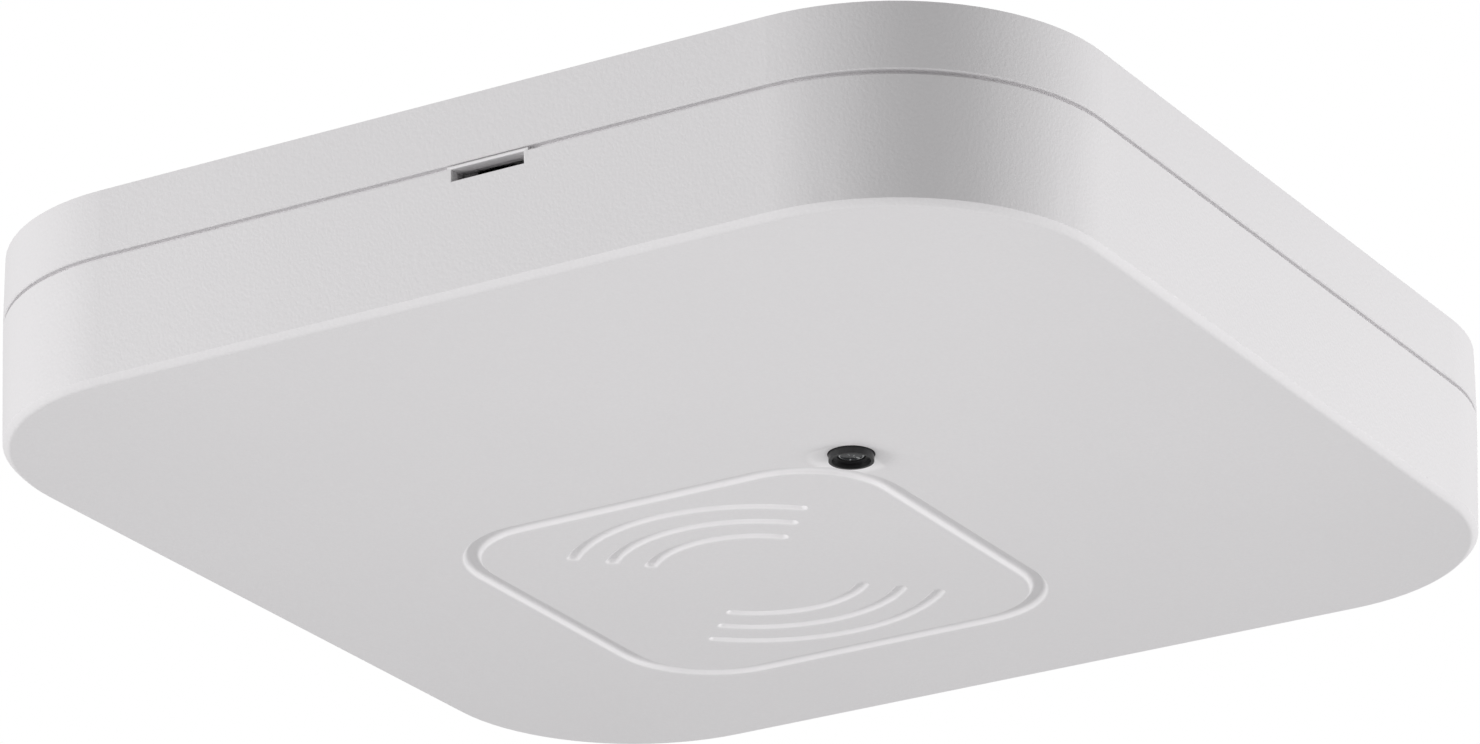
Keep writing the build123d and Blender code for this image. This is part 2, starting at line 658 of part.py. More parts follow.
def surface_resistors():
    """Rows of small flat resistors under the radar board."""
    chip = Box(RESISTOR_LENGTH, RESISTOR_WIDTH, RESISTOR_HEIGHT, align=STAND)
    places = [
        (
            PANEL_X + (i - (RESISTOR_COLUMNS - 1) / 2) * RESISTOR_PITCH,
            PANEL_Y + (j - (RESISTOR_ROWS - 1) / 2) * RESISTOR_PITCH,
        )
        for i in range(RESISTOR_COLUMNS)
        for j in range(RESISTOR_ROWS)
    ]
    return Part() + [on_board(x, y, chip) for x, y in places]


def rf_board():
    """The radar board, held flat behind the engraved panel."""
    plate = Box(RF_SIDE, RF_SIDE, RF_THICKNESS, align=STAND)
    board = on_board(PANEL_X, PANEL_Y, Pos(0, 0, RF_RISE) * plate)
    hole = Box(PIN + 2 * PIN_GAP, PIN + 2 * PIN_GAP, RF_RISE + 2 * RF_THICKNESS, align=STAND)
    for x, y in PIN_PLACES:
        board -= on_board(x, y, hole)
    return board


def rf_shield_can():
    """Pressed screening can, open towards the radar board that it stands on."""
    shell = moulded_block(CAN_LENGTH, CAN_WIDTH, CAN_HEIGHT, CAN_EDGE)
    hollow_height = CAN_HEIGHT - CAN_SHEET + CUT
    hollow = Box(CAN_LENGTH - 2 * CAN_SHEET, CAN_WIDTH - 2 * CAN_SHEET, hollow_height, align=STAND)
    shell -= Pos(0, 0, -CUT) * hollow
    return Pos(PANEL_X, PANEL_Y, BOARD_FACE_Z - RF_RISE) * shell


def rf_spacers():
    """Hexagonal nylon spacers that carry the radar board on the main board."""
    spacer = extrude(RegularPolygon(SPACER_R, 6), RF_RISE)
    return Part() + [on_board(x, y, spacer) for x, y in SPACER_PLACES]


def rf_header_block():
    """Plastic strip of the pin header between the two boards."""
    block = Box(HEADER_WIDTH, PIN_COUNT * PIN_PITCH, HEADER_HEIGHT, align=STAND)
    strip = on_board(PIN_X, PANEL_Y, block)
    for x, y in PIN_PLACES:
        strip -= on_board(x, y, Box(PIN, PIN, 3 * HEADER_HEIGHT))
    return strip


def rf_header_pins():
    """Square pins of the header, through the radar board."""
    pin = Box(PIN, PIN, RF_RISE + RF_THICKNESS + PIN_PROUD, align=STAND)
    return Part() + [on_board(x, y, pin) for x, y in PIN_PLACES]


def light_sensor():
    """Light sensor chip at the foot of the tube."""
    return on_board(TUBE_X, TUBE_Y, Box(CHIP_LENGTH, CHIP_WIDTH, CHIP_HEIGHT, align=STAND))


def light_tube():
    """Black tube from the board to just proud of the face, with a cup round the guide's end."""
    length = BOARD_FACE_Z - FACE_Z + TUBE_PROUD
    tube = Cylinder(TUBE_R, length, align=STAND)
    tube += Box(TUBE_FOOT_SIDE, TUBE_FOOT_SIDE, TUBE_FOOT, align=STAND)
    tube -= post(0, 0, TUBE_BORE_R, -CUT, length + CUT)
    tube -= post(0, 0, TUBE_CUP_R, length - TUBE_CUP, length + CUT)
    return on_board(TUBE_X, TUBE_Y, tube)


def light_guide():
    """Clear rod in the tube, from over the chip to inside the tube's cup."""
    tip = BOARD_FACE_Z - FACE_Z + TUBE_PROUD - TUBE_CUP + GUIDE_TIP
    rod = post(0, 0, TUBE_BORE_R - GUIDE_GAP, CHIP_HEIGHT + GUIDE_GAP, tip)
    return on_board(TUBE_X, TUBE_Y, rod)


def dial_bodies():
    """Square bodies of the setting dials, each with a bore for its dial's pin."""
    body = Box(DIAL_BODY, DIAL_BODY, DIAL_BODY_HEIGHT, align=STAND)
    depth = DIAL_PIN + DIAL_BORE_SPARE - DIAL_LIFT
    body -= post(0, 0, DIAL_PIN_R + DIAL_BORE_GAP, DIAL_BODY_HEIGHT - depth, DIAL_BODY_HEIGHT + CUT)
    return Part() + [on_board(x, y, body) for x, y in DIAL_PLACES]


def dial(x, y):
    """Toothed dial with a screwdriver slot and a pointer mark."""
    rim = []
    for i in range(2 * DIAL_TEETH):
        turn = radians(i * 180 / DIAL_TEETH)
        radius = DIAL_R - DIAL_TOOTH * (i % 2)
        rim.append((radius * cos(turn), radius * sin(turn)))
    knob = extrude(Polygon(*rim, align=None), DIAL_HEIGHT)
    slot = Box(DIAL_SLOT, DIAL_SLOT_LENGTH, 2 * DIAL_SLOT_DEPTH)
    pointer = Box(DIAL_SLOT, DIAL_POINTER, DIAL_SLOT_DEPTH)
    knob -= Pos(0, 0, DIAL_HEIGHT) * slot
    knob -= Pos(0, -DIAL_R, DIAL_HEIGHT) * pointer
    knob += post(0, 0, DIAL_PIN_R, -DIAL_PIN, 0)
    return on_board(x, y, Pos(0, 0, DIAL_BODY_HEIGHT + DIAL_LIFT) * knob)


def dip_switch_body():
    """Mode switch body with a slot for each slider."""
    length = DIP_COUNT * DIP_PITCH + 2 * DIP_END
    body = Box(length, DIP_DEPTH, DIP_HEIGHT, align=STAND)
    for x in DIP_OFFSETS:
        body -= Pos(x, 0, DIP_HEIGHT) * Box(DIP_SLOT_WIDTH, DIP_SLOT_LENGTH, 2 * DIP_SLOT_DEPTH)
    return on_board(DIP_X, DIP_Y, body)


def dip_slider(x):
    """One slider of the mode switch, at the end of its slot nearer the wires."""
    width = DIP_SLOT_WIDTH - 2 * DIP_SLIDER_GAP
    slider = Box(width, DIP_SLIDER_LENGTH, DIP_SLOT_DEPTH + DIP_SLIDER_PROUD, align=STAND)
    slider = Pos(x, DIP_TRAVEL / 2, DIP_HEIGHT - DIP_SLOT_DEPTH) * slider
    return on_board(DIP_X, DIP_Y, slider)


def pieces():
    """Every separate piece, by the name of its node."""
    made = {
        "base_housing": base_housing(),
        "cable_grommet": cable_grommet(),
        "main_board": main_board(),
        "board_screws": board_screws(),
        "terminal_block": terminal_block(),
        "relay": relay(),
        "supply_transformer": supply_transformer(),
        "suppression_capacitor": suppression_capacitor(),
        "supply_capacitors": supply_capacitors(),
        "mains_choke": mains_choke(),
        "surge_varistor": surge_varistor(),
        "fuse": fuse(),
        "rectifier": rectifier(),
        "processor_chip": processor_chip(),
        "surface_resistors": surface_resistors(),
        "rf_board": rf_board(),
        "rf_shield_can": rf_shield_can(),
        "rf_spacers": rf_spacers(),
        "rf_header_block": rf_header_block(),
        "rf_header_pins": rf_header_pins(),
        "light_sensor": light_sensor(),
        "light_tube": light_tube(),
        "light_guide": light_guide(),
        "dial_bodies": dial_bodies(),
        "dip_switch_body": dip_switch_body(),
        "front_cover": front_cover(),
        "cover_snap_hooks": cover_snap_hooks(),
    }
    for number, x in enumerate(POLE_OFFSETS, start=1):
        made[f"terminal_clamp_{number}"] = terminal_clamp(x)
        made[f"terminal_button_{number}"] = terminal_button(x)
    for name, (x, y) in zip(DIAL_NAMES, DIAL_PLACES):
        made[name] = dial(x, y)
    for number, x in enumerate(DIP_OFFSETS, start=1):
        made[f"dip_slider_{number}"] = dip_slider(x)
    return made


def main():
    os.makedirs("parts", exist_ok=True)
    for name, piece in pieces().items():
        piece.label = name
        export_step(piece, f"parts/{name}.step")


main()
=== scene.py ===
"""Dresses the ceiling motion detector: finishes, small inner parts, stage and camera."""

from contextlib import contextmanager
from functools import partialmethod, reduce
from math import cos, pi, radians, sin
from operator import or_

import bmesh
import bpy
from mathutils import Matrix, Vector


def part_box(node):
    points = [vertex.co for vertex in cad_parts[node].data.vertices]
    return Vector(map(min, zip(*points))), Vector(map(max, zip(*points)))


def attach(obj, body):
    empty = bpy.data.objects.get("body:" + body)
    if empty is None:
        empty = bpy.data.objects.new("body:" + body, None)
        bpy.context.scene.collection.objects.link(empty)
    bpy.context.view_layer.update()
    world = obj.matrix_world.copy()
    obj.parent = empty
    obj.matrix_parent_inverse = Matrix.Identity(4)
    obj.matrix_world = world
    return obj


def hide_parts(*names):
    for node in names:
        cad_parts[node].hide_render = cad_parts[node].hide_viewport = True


bl_info = {
    "name": "Ceiling motion detector",
    "version": (1, 0, 0),
    "blender": (4, 5, 0),
    "location": "View3D > Sidebar > Detector",
    "description": "Finishes, inner parts and studio for a square ceiling motion detector",
    "category": "Object",
}

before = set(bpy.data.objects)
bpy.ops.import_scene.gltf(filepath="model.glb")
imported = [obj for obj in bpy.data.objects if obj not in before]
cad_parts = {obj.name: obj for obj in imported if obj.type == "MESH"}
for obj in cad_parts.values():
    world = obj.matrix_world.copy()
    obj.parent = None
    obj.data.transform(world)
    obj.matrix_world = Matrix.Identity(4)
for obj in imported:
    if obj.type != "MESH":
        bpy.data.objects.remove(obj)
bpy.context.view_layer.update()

MM = 0.001
UP = Vector((0, 0, 1))
CARRIER = "base"
DIALS = ("range_dial", "time_dial", "light_dial")
NUMBERS = range(1, 5)  # of the clamps, buttons and sliders

# Limits for merging and picking
MERGE = 0.001 * MM  # corners this close together are one
LEVEL = 0.01 * MM  # what is this close to a level lies on it
FLAT = radians(0.3)  # faces that turn by less are one flat face
SHARP = radians(25)  # an edge that turns by more is sharp
FACING = 0.9  # least cosine between a face's normal and the way that it faces
ROUND = 64  # sides of a round piece
CLOUD = 22  # a cloud of colour is this many grains wide

# The cover as the CAD has it, in millimetres. Its rim is its upper edge, at the seam.
PANEL_DEPTH = 0.6  # groove of the rounded square
WAVE_DEPTH = 0.5  # grooves of the arcs
ENGRAVED = 26.0  # from the radar board's middle to the side of the engraved field
GAP_MIDDLE = 0.22  # shadow gap at the seam: middle, under the rim, and half its height
GAP_HALF = 0.24
SEAM_TOP = 0.1  # the seam's edges lie between these two, under the rim
SEAM_FOOT = 0.5
SLOT_X = 7.2  # middle of the release slot, and half its width with its edges
SLOT_HALF = 4.1
SLOT_FOOT = 2.0  # its edges lie less than this under the rim
TAB_FOOT = 1.45  # foot of the tab over the slot: under the rim, and out of the wall
TAB_PROUD = 0.048

# Windows in the snap hooks, in millimetres. Depths count inwards from a hook's catch, and
# levels down from its top.
HOOK_MIDDLES = (SLOT_X, 0, 0, 0)  # along each wall, from the one with the slot round
WINDOW_HALF = 3.8
WINDOW_FOOT = 4.0
WINDOW_INSIDE = (2.2, 3.4)  # the middle of a face in the window lies between these levels
ARM_FACES = ((-1, 1.0, 1.9), (1, 2.4, 1.0))  # outward or inward, depth, head of the window


# Sizes and colours that a user would change

def colour(name, description, default):
    return bpy.props.FloatVectorProperty(
        name=name, description=description, default=default, subtype="COLOR", min=0, max=1
    )


def number(name, description, default, **limits):
    return bpy.props.FloatProperty(
        name=name, description=description, default=default, **limits
    )


def length(name, description, default_mm):
    return number(name, description, default_mm * MM, unit="LENGTH", min=0, precision=5)


def share(name, description, default):
    return number(name, description, default, subtype="FACTOR", min=0, max=1)


def power(name, description, default):
    return number(name, description, default, unit="POWER", min=0)


class DetectorCase(bpy.types.PropertyGroup):
    """The moulded case."""

    plastic: colour("Plastic", "Base, cover and hooks", (0.80, 0.785, 0.797))
    grain: length("Grain", "Size of the eroded texture's grains", 0.32)
    relief: length("Relief", "Depth of the eroded texture", 0.012)
    roughness: share("Roughness", "Roughness of the plastic", 0.46)
    # Painted light: the lighter colour that is painted into the engraved grooves and the seam's
    # shadow gap.
    polished: colour("Polished", "Smooth engraved grooves", (0.90, 0.885, 0.897))
    panel_foot: length("Panel groove", "Rounding at the rounded square's foot", 0.32)
    wave_foot: length("Wave grooves", "Rounding at the feet of the arcs", 0.2)
    lip: length("Lip", "Rounding along the grooves' edges", 0.22)
    edge: length("Edge", "Rounding along the seam and the release slot", 0.12)
    rubber: colour("Rubber", "Cable grommet", (0.02, 0.02, 0.021))


class DetectorSensor(bpy.types.PropertyGroup):
    """The light sensor beside the panel."""

    tube: colour("Tube", "Tube of the sensor", (0.012, 0.012, 0.013))
    lens: colour("Lens", "Clear guide over the dark tube", (0.030, 0.031, 0.034))
    # Painted highlight: the bright ring painted at the edge of the guide.
    rim: colour("Lens rim", "Bright ring at the edge of the guide", (0.55, 0.56, 0.56))
    dome: length("Dome", "Rounding of the guide's end", 0.3)
    recess: length("Recess", "How far the guide's end is drawn back into the tube", 0.25)


class DetectorBoard(bpy.types.PropertyGroup):
    """The main board and the radar board."""

    mask: colour("Mask", "Solder mask of the main board", (0.010, 0.105, 0.040))
    laminate: colour("Laminate", "Bare edges of the boards", (0.42, 0.36, 0.17))
    print_ink: colour("Print", "Printed outlines on the board", (0.75, 0.76, 0.72))
    tin: colour("Tin", "Solder, pads and chip legs", (0.68, 0.68, 0.67))
    chip: colour("Chip", "Moulding of the chips", (0.016, 0.016, 0.017))
    radar_mask: colour("Radar mask", "Solder mask of the radar board", (0.66, 0.66, 0.61))
    gold: colour("Gold", "Antenna patches and header pins", (0.80, 0.55, 0.20))
    leg_pitch: length("Leg pitch", "Spacing of the processor's legs", 0.8)


class DetectorPower(bpy.types.PropertyGroup):
    """The power parts."""

    relay: colour("Relay", "Relay case", (0.012, 0.035, 0.14))
    tape: colour("Tape", "Tape round the transformer's winding", (0.72, 0.50, 0.03))
    film: colour("Film capacitor", "Box of the film capacitor", (0.76, 0.50, 0.05))
    sleeve: colour("Sleeve", "Sleeves of the round capacitors", (0.010, 0.013, 0.026))
    varistor: colour("Varistor", "Epoxy of the varistor", (0.012, 0.09, 0.34))
    fuse: colour("Fuse", "Body of the fuse", (0.10, 0.035, 0.018))


class DetectorControls(bpy.types.PropertyGroup):
    """Terminals, dials and mode switch."""

    terminal: colour("Terminal", "Terminal block", (0.40, 0.42, 0.41))
    button: colour("Button", "Release buttons", (0.80, 0.20, 0.015))
    dial_body: colour("Dial body", "Bodies of the setting dials", (0.018, 0.075, 0.28))
    dial: colour("Dial", "Setting dials", (0.74, 0.72, 0.62))
    switch: colour("Switch", "Body of the mode switch", (0.38, 0.012, 0.012))
    numeral: length("Numeral", "Height of the mode switch's numerals", 1.0)
    clamp: share("Clamp height", "Height of the clamps, with room for pressed buttons", 0.86)


class DetectorStage(bpy.types.PropertyGroup):
    """Floor, light and camera."""

    floor: colour("Floor", "Floor under the object", (0.86, 0.86, 0.86))
    floor_depth: length("Floor depth", "How far the floor lies under the ceiling plane", 2600)
    ambient: share("Ambient", "Light from all round", 0.395)
    left: power("Left light", "Soft light on the left", 8.85)
    right: power("Right light", "Soft light on the right", 9.9)
    under: power("Lower light", "Soft light under the face", 0.048)
    upper: power("Upper light", "Soft light behind and above", 15.0)
    floor_light: power("Floor light", "Light over the floor", 100.0)
    lens: number("Lens", "Focal length on a 36 mm wide sensor", 166.09, min=1, unit="CAMERA")
    eye: bpy.props.FloatVectorProperty(
        name="Camera place", description="Where the camera stands", subtype="TRANSLATION",
        default=(0.32547, -0.54455, -0.26786),
    )
    turn: bpy.props.FloatVectorProperty(
        name="Camera turn", description="How the camera is turned", subtype="EULER",
        default=(radians(112.4347), radians(0.2072), radians(31.0664)),
    )


# Shader maths

class Value:
    """A shader value that adds its own maths nodes where it stands in an expression."""

    def __init__(self, nodes, socket):
        self.nodes = nodes
        self.socket = socket

    def maths(self, operation, *others):
        values = dict(enumerate((self, *others)))
        return self.nodes.node("ShaderNodeMath", {"operation": operation}, values)

    def __rsub__(self, other):
        return self.nodes.node("ShaderNodeMath", {"operation": "SUBTRACT"}, {0: other, 1: self})

    __add__ = __radd__ = partialmethod(maths, "ADD")
    __sub__ = partialmethod(maths, "SUBTRACT")
    __mul__ = __rmul__ = partialmethod(maths, "MULTIPLY")
    __truediv__ = partialmethod(maths, "DIVIDE")
    __abs__ = partialmethod(maths, "ABSOLUTE")
    __or__ = partialmethod(maths, "MAXIMUM")
    root = partialmethod(maths, "SQRT")
    fraction = partialmethod(maths, "FRACT")
    whole = partialmethod(maths, "FLOOR")
    angle_from = partialmethod(maths, "ARCTAN2")

    def rise(self, low, high):
        """0 below low, 1 above high, and a smooth rise between them."""
        settings = {"interpolation_type": "SMOOTHSTEP"}
        return self.nodes.node("ShaderNodeMapRange", settings, {0: self, 1: low, 2: high})

    def fall(self, low, high):
        """1 below low, 0 above high, and a smooth fall between them."""
        return 1 - self.rise(low, high)

    def line(self, middle, half, soft):
        """1 on a line of that half width about middle, with soft edges."""
        return abs(self - middle).fall(half, half + soft)


def distance(across, along):
    """The distance from 0 of a point that lies so far across and along."""
    return (across * across + along * along).root()


def dimmed(tint, part):
    """A part of a colour's brightness."""
    return [part * channel for channel in tint]


class Nodes:
    """A node tree that is added to in one way."""

    def __init__(self, tree):
        self.tree = tree

    def node(self, kind, settings=None, values=None, output=0):
        """Adds a node, sets it, fills or links its inputs and returns one output."""
        made = self.tree.nodes.new(kind)
        for name, setting in (settings or {}).items():
            setattr(made, name, setting)
        for key, value in (values or {}).items():
            self.feed(made.inputs[key], value)
        return Value(self, made.outputs[output])

    def feed(self, socket, value):
        if isinstance(value, Value):
            self.tree.links.new(value.socket, socket)
        elif socket.type == "RGBA" and len(value) == 3:
            socket.default_value = (*value, 1)
        else:
            socket.default_value = value


class Finish(Nodes):
    """A material in the making, with its coordinates x, y and z in millimetres."""

    def __init__(self, name):
        self.material = bpy.data.materials.new(name)
        self.material.use_nodes = True
        super().__init__(self.material.node_tree)
        self.surface = self.tree.nodes["Principled BSDF"]
        coordinates = self.node("ShaderNodeTexCoord", output="Object")
        scale = {"operation": "SCALE"}
        self.place = self.node("ShaderNodeVectorMath", scale, {0: coordinates, "Scale": 1 / MM})
        self.x, self.y, self.z = self.parts(self.place)

    def parts(self, vector):
        split = self.node("ShaderNodeSeparateXYZ", None, {0: vector}).socket.node
        return [Value(self, output) for output in split.outputs]

    def upward(self):
        """1 where the surface faces up, -1 where it faces down."""
        return self.parts(self.node("ShaderNodeNewGeometry", output="Normal"))[2]

    def noise(self, grain, detail=2.0):
        """Noise about 0.5 whose grains are that many millimetres across."""
        values = {"Vector": self.place, "Scale": 1 / grain, "Detail": detail}
        return self.node("ShaderNodeTexNoise", None, values)

    def cells(self, *places):
        """A random number from 0 to 1 for each set of whole numbers."""
        place = self.node("ShaderNodeCombineXYZ", None, dict(enumerate(places)))
        return self.node("ShaderNodeTexWhiteNoise", {"noise_dimensions": "3D"}, {0: place})

    def mix(self, factor, low, high):
        """A colour that goes from low to high as factor goes from 0 to 1."""
        values = {0: factor, 6: low, 7: high}
        return self.node("ShaderNodeMix", {"data_type": "RGBA"}, values, output=2)

    def shaded(self, tint, noise, spread):
        """A colour that is a little darker and lighter with a noise."""
        lighter = [min(1, channel) for channel in dimmed(tint, 1 + spread)]
        return self.mix(noise.rise(0.3, 0.7), dimmed(tint, 1 - spread), lighter)

    def relief(self, height, depth_mm):
        """Bumps the surface, where a height of 1 stands for that depth."""
        values = {"Strength": 1.0, "Distance": depth_mm * MM, "Height": height}
        self.set({"Normal": self.node("ShaderNodeBump", None, values)})

    def set(self, values):
        for name, value in values.items():
            self.feed(self.surface.inputs[name], value)
        return self


def moulded(name, tint, grain=0.3, relief=0.01, roughness=0.45, spread=0.04):
    """A moulded plastic: fine grain, a faint cloud of colour and uneven gloss."""
    finish = Finish(name)
    fine = finish.noise(grain)
    broad = finish.noise(grain * CLOUD)
    finish.relief(fine, relief)
    uneven = broad * 0.08 + fine * 0.04 - 0.06  # 0 on average
    tint = finish.shaded(tint, broad, spread)
    return finish.set({"Base Color": tint, "Roughness": roughness + uneven})


def metal(name, tint, roughness, along="x", scratch=0.004):
    """A bright metal with fine brush lines along one axis."""
    finish = Finish(name)
    stretch = [0.15 if axis == along else 1 for axis in "xyz"]
    multiply = {"operation": "MULTIPLY"}
    drawn = finish.node("ShaderNodeVectorMath", multiply, {0: finish.place, 1: stretch})
    values = {"Vector": drawn, "Scale": 9.0, "Detail": 3.0}
    lines = finish.node("ShaderNodeTexNoise", None, values)
    finish.relief(lines, scratch)
    return finish.set({
        "Base Color": finish.shaded(tint, lines, 0.10),
        "Metallic": 1.0,
        "Roughness": roughness + (lines - 0.5) * 0.16,
    })


# Places on the CAD nodes

def spread_of(node):
    """A node's middle and half its size, in millimetres."""
    low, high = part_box(node)
    return (low + high) / (2 * MM), (high - low) / (2 * MM)


# Tests for faces and edges, by their middle and their normal or direction

def everywhere(middle, direction):
    return True


def facing_down(middle, normal):
    return normal.z < -FACING


def at_level(z):
    return lambda middle, direction: abs(middle.z - z) < LEVEL


def low_rim(piece):
    """The edges round the lowest face of a piece."""
    return at_level(min(vertex.co.z for vertex in piece.data.vertices))


# Modelling

def only(piece):
    bpy.ops.object.select_all(action="DESELECT")
    piece.select_set(True)
    bpy.context.view_layer.objects.active = piece


@contextmanager
def editing(piece):
    """Edit mode on one piece alone, at first with its whole mesh selected."""
    only(piece)
    bpy.ops.object.mode_set(mode="EDIT")
    bpy.ops.mesh.select_all(action="SELECT")
    yield
    bpy.ops.object.mode_set(mode="OBJECT")


def fix(piece):
    """Puts a piece's place, turn and scale into its mesh."""
    only(piece)
    bpy.ops.object.transform_apply(location=True, rotation=True, scale=True)


def start(kind, name, **settings):
    """Adds a primitive with nothing else selected."""
    bpy.ops.object.select_all(action="DESELECT")
    getattr(bpy.ops.mesh, f"primitive_{kind}_add")(**settings)
    piece = bpy.context.object
    piece.name = piece.data.name = name
    fix(piece)
    return piece


def pick(piece, kind, test, fits=None):
    """Selects, in edit mode, the faces or edges that pass a test and, if asked, fit."""
    bpy.ops.mesh.select_mode(type=kind)
    bpy.ops.mesh.select_all(action="DESELECT")
    mesh = bmesh.from_edit_mesh(piece.data)
    if kind == "FACE":
        rows = [(face, face.calc_center_median(), face.normal) for face in mesh.faces]
    else:
        ends = [(edge, edge.verts[0].co, edge.verts[1].co) for edge in mesh.edges]
        rows = [(edge, (a + b) / 2, (b - a).normalized()) for edge, a, b in ends]
    for item, middle, direction in rows:
        if test(middle, direction) and (fits is None or fits(item)):
            item.select_set(True)
    bmesh.update_edit_mesh(piece.data)


def round_edges(piece, test, width, segments=4, fits=None, **settings):
    """Bevels the edges that pass a test."""
    with editing(piece):
        pick(piece, "EDGE", test, fits)
        bpy.ops.mesh.bevel(offset=width, segments=segments, affect="EDGES", **settings)


def ease(piece, width, segments, test, convex=True):
    """Bevels the sharp outer or inner edges that pass a test."""
    def sharp(edge):
        turned = edge.is_manifold and edge.calc_face_angle() > SHARP
        return turned and edge.is_convex == convex

    round_edges(piece, test, width, segments, sharp, loop_slide=False)


def sink_face(piece, test, rim, depth):
    """Insets the faces that pass a test and pushes their middle up."""
    with editing(piece):
        pick(piece, "FACE", test)
        bpy.ops.mesh.inset(thickness=rim)
        bpy.ops.mesh.extrude_region_move(TRANSFORM_OT_translate={"value": UP * depth})


def start_block(name, low, high):
    """A block between two corners."""
    low, high = Vector(low), Vector(high)
    return start("cube", name, size=1, location=(low + high) / 2, scale=high - low)


def eased_block(name, low, high, width, segments=2):
    """A block between two corners, with all its edges rounded."""
    block = start_block(name, low, high)
    round_edges(block, everywhere, width, segments)
    return block


def drum(name, low, high, width, segments=4):
    """A standing cylinder between two corners, rounded at its lower end."""
    piece = start(
        "cylinder", name, vertices=ROUND, radius=(high.x - low.x) / 2,
        depth=high.z - low.z, location=(low + high) / 2,
    )
    round_edges(piece, low_rim(piece), width, segments)
    return piece


def copied(piece, name, shift):
    """A copy with its own mesh, moved by a vector."""
    only(piece)
    bpy.ops.object.duplicate(linked=False)
    bpy.ops.transform.translate(value=shift)
    twin = bpy.context.object
    twin.name = twin.data.name = name
    fix(twin)
    return twin


def joined(name, pieces):
    """One piece from several."""
    only(pieces[0])
    for piece in pieces:
        piece.select_set(True)
    bpy.ops.object.join()
    pieces[0].name = pieces[0].data.name = name
    return pieces[0]


def merge_corners():
    """Merges, in edit mode, the corners of a whole mesh and makes its flat faces whole."""
    bpy.ops.mesh.select_all(action="SELECT")
    bpy.ops.mesh.remove_doubles(threshold=MERGE)
    bpy.ops.mesh.dissolve_limited(angle_limit=FLAT)


def merged_copy(node, name):
    """A copy of a CAD node's mesh, with its corners merged and its flat faces made whole."""
    piece = bpy.data.objects.new(name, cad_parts[node].data.copy())
    bpy.context.scene.collection.objects.link(piece)
    piece.data.name = name
    only(piece)
    bpy.ops.mesh.customdata_custom_splitnormals_clear()
    with editing(piece):
        merge_corners()
    return piece


def weigh_normals(piece):
    """Lets wide flat faces keep their direction beside narrow rounded edges."""
    only(piece)
    bpy.ops.object.modifier_add(type="WEIGHTED_NORMAL")
    piece.modifiers[0].keep_sharp = True
    bpy.ops.object.modifier_apply(modifier=piece.modifiers[0].name)


# Handing over

def dress(finish, *nodes):
    """Gives CAD nodes their finish."""
    for node in nodes:
        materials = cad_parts[node].data.materials
        materials.clear()
        materials.append(finish.material)


def settle(piece, slot, finish, *replaced, body=CARRIER, smooth=35):
    """Gives a piece its shading, finish and body. Its slot is not used."""
    fix(piece)
    bpy.ops.object.shade_smooth_by_angle(angle=radians(smooth))
    piece.data.materials.clear()
    piece.data.materials.append(finish.material)
    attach(piece, body)
    if replaced:
        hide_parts(*replaced)


# Operators, one for each piece or group of like pieces

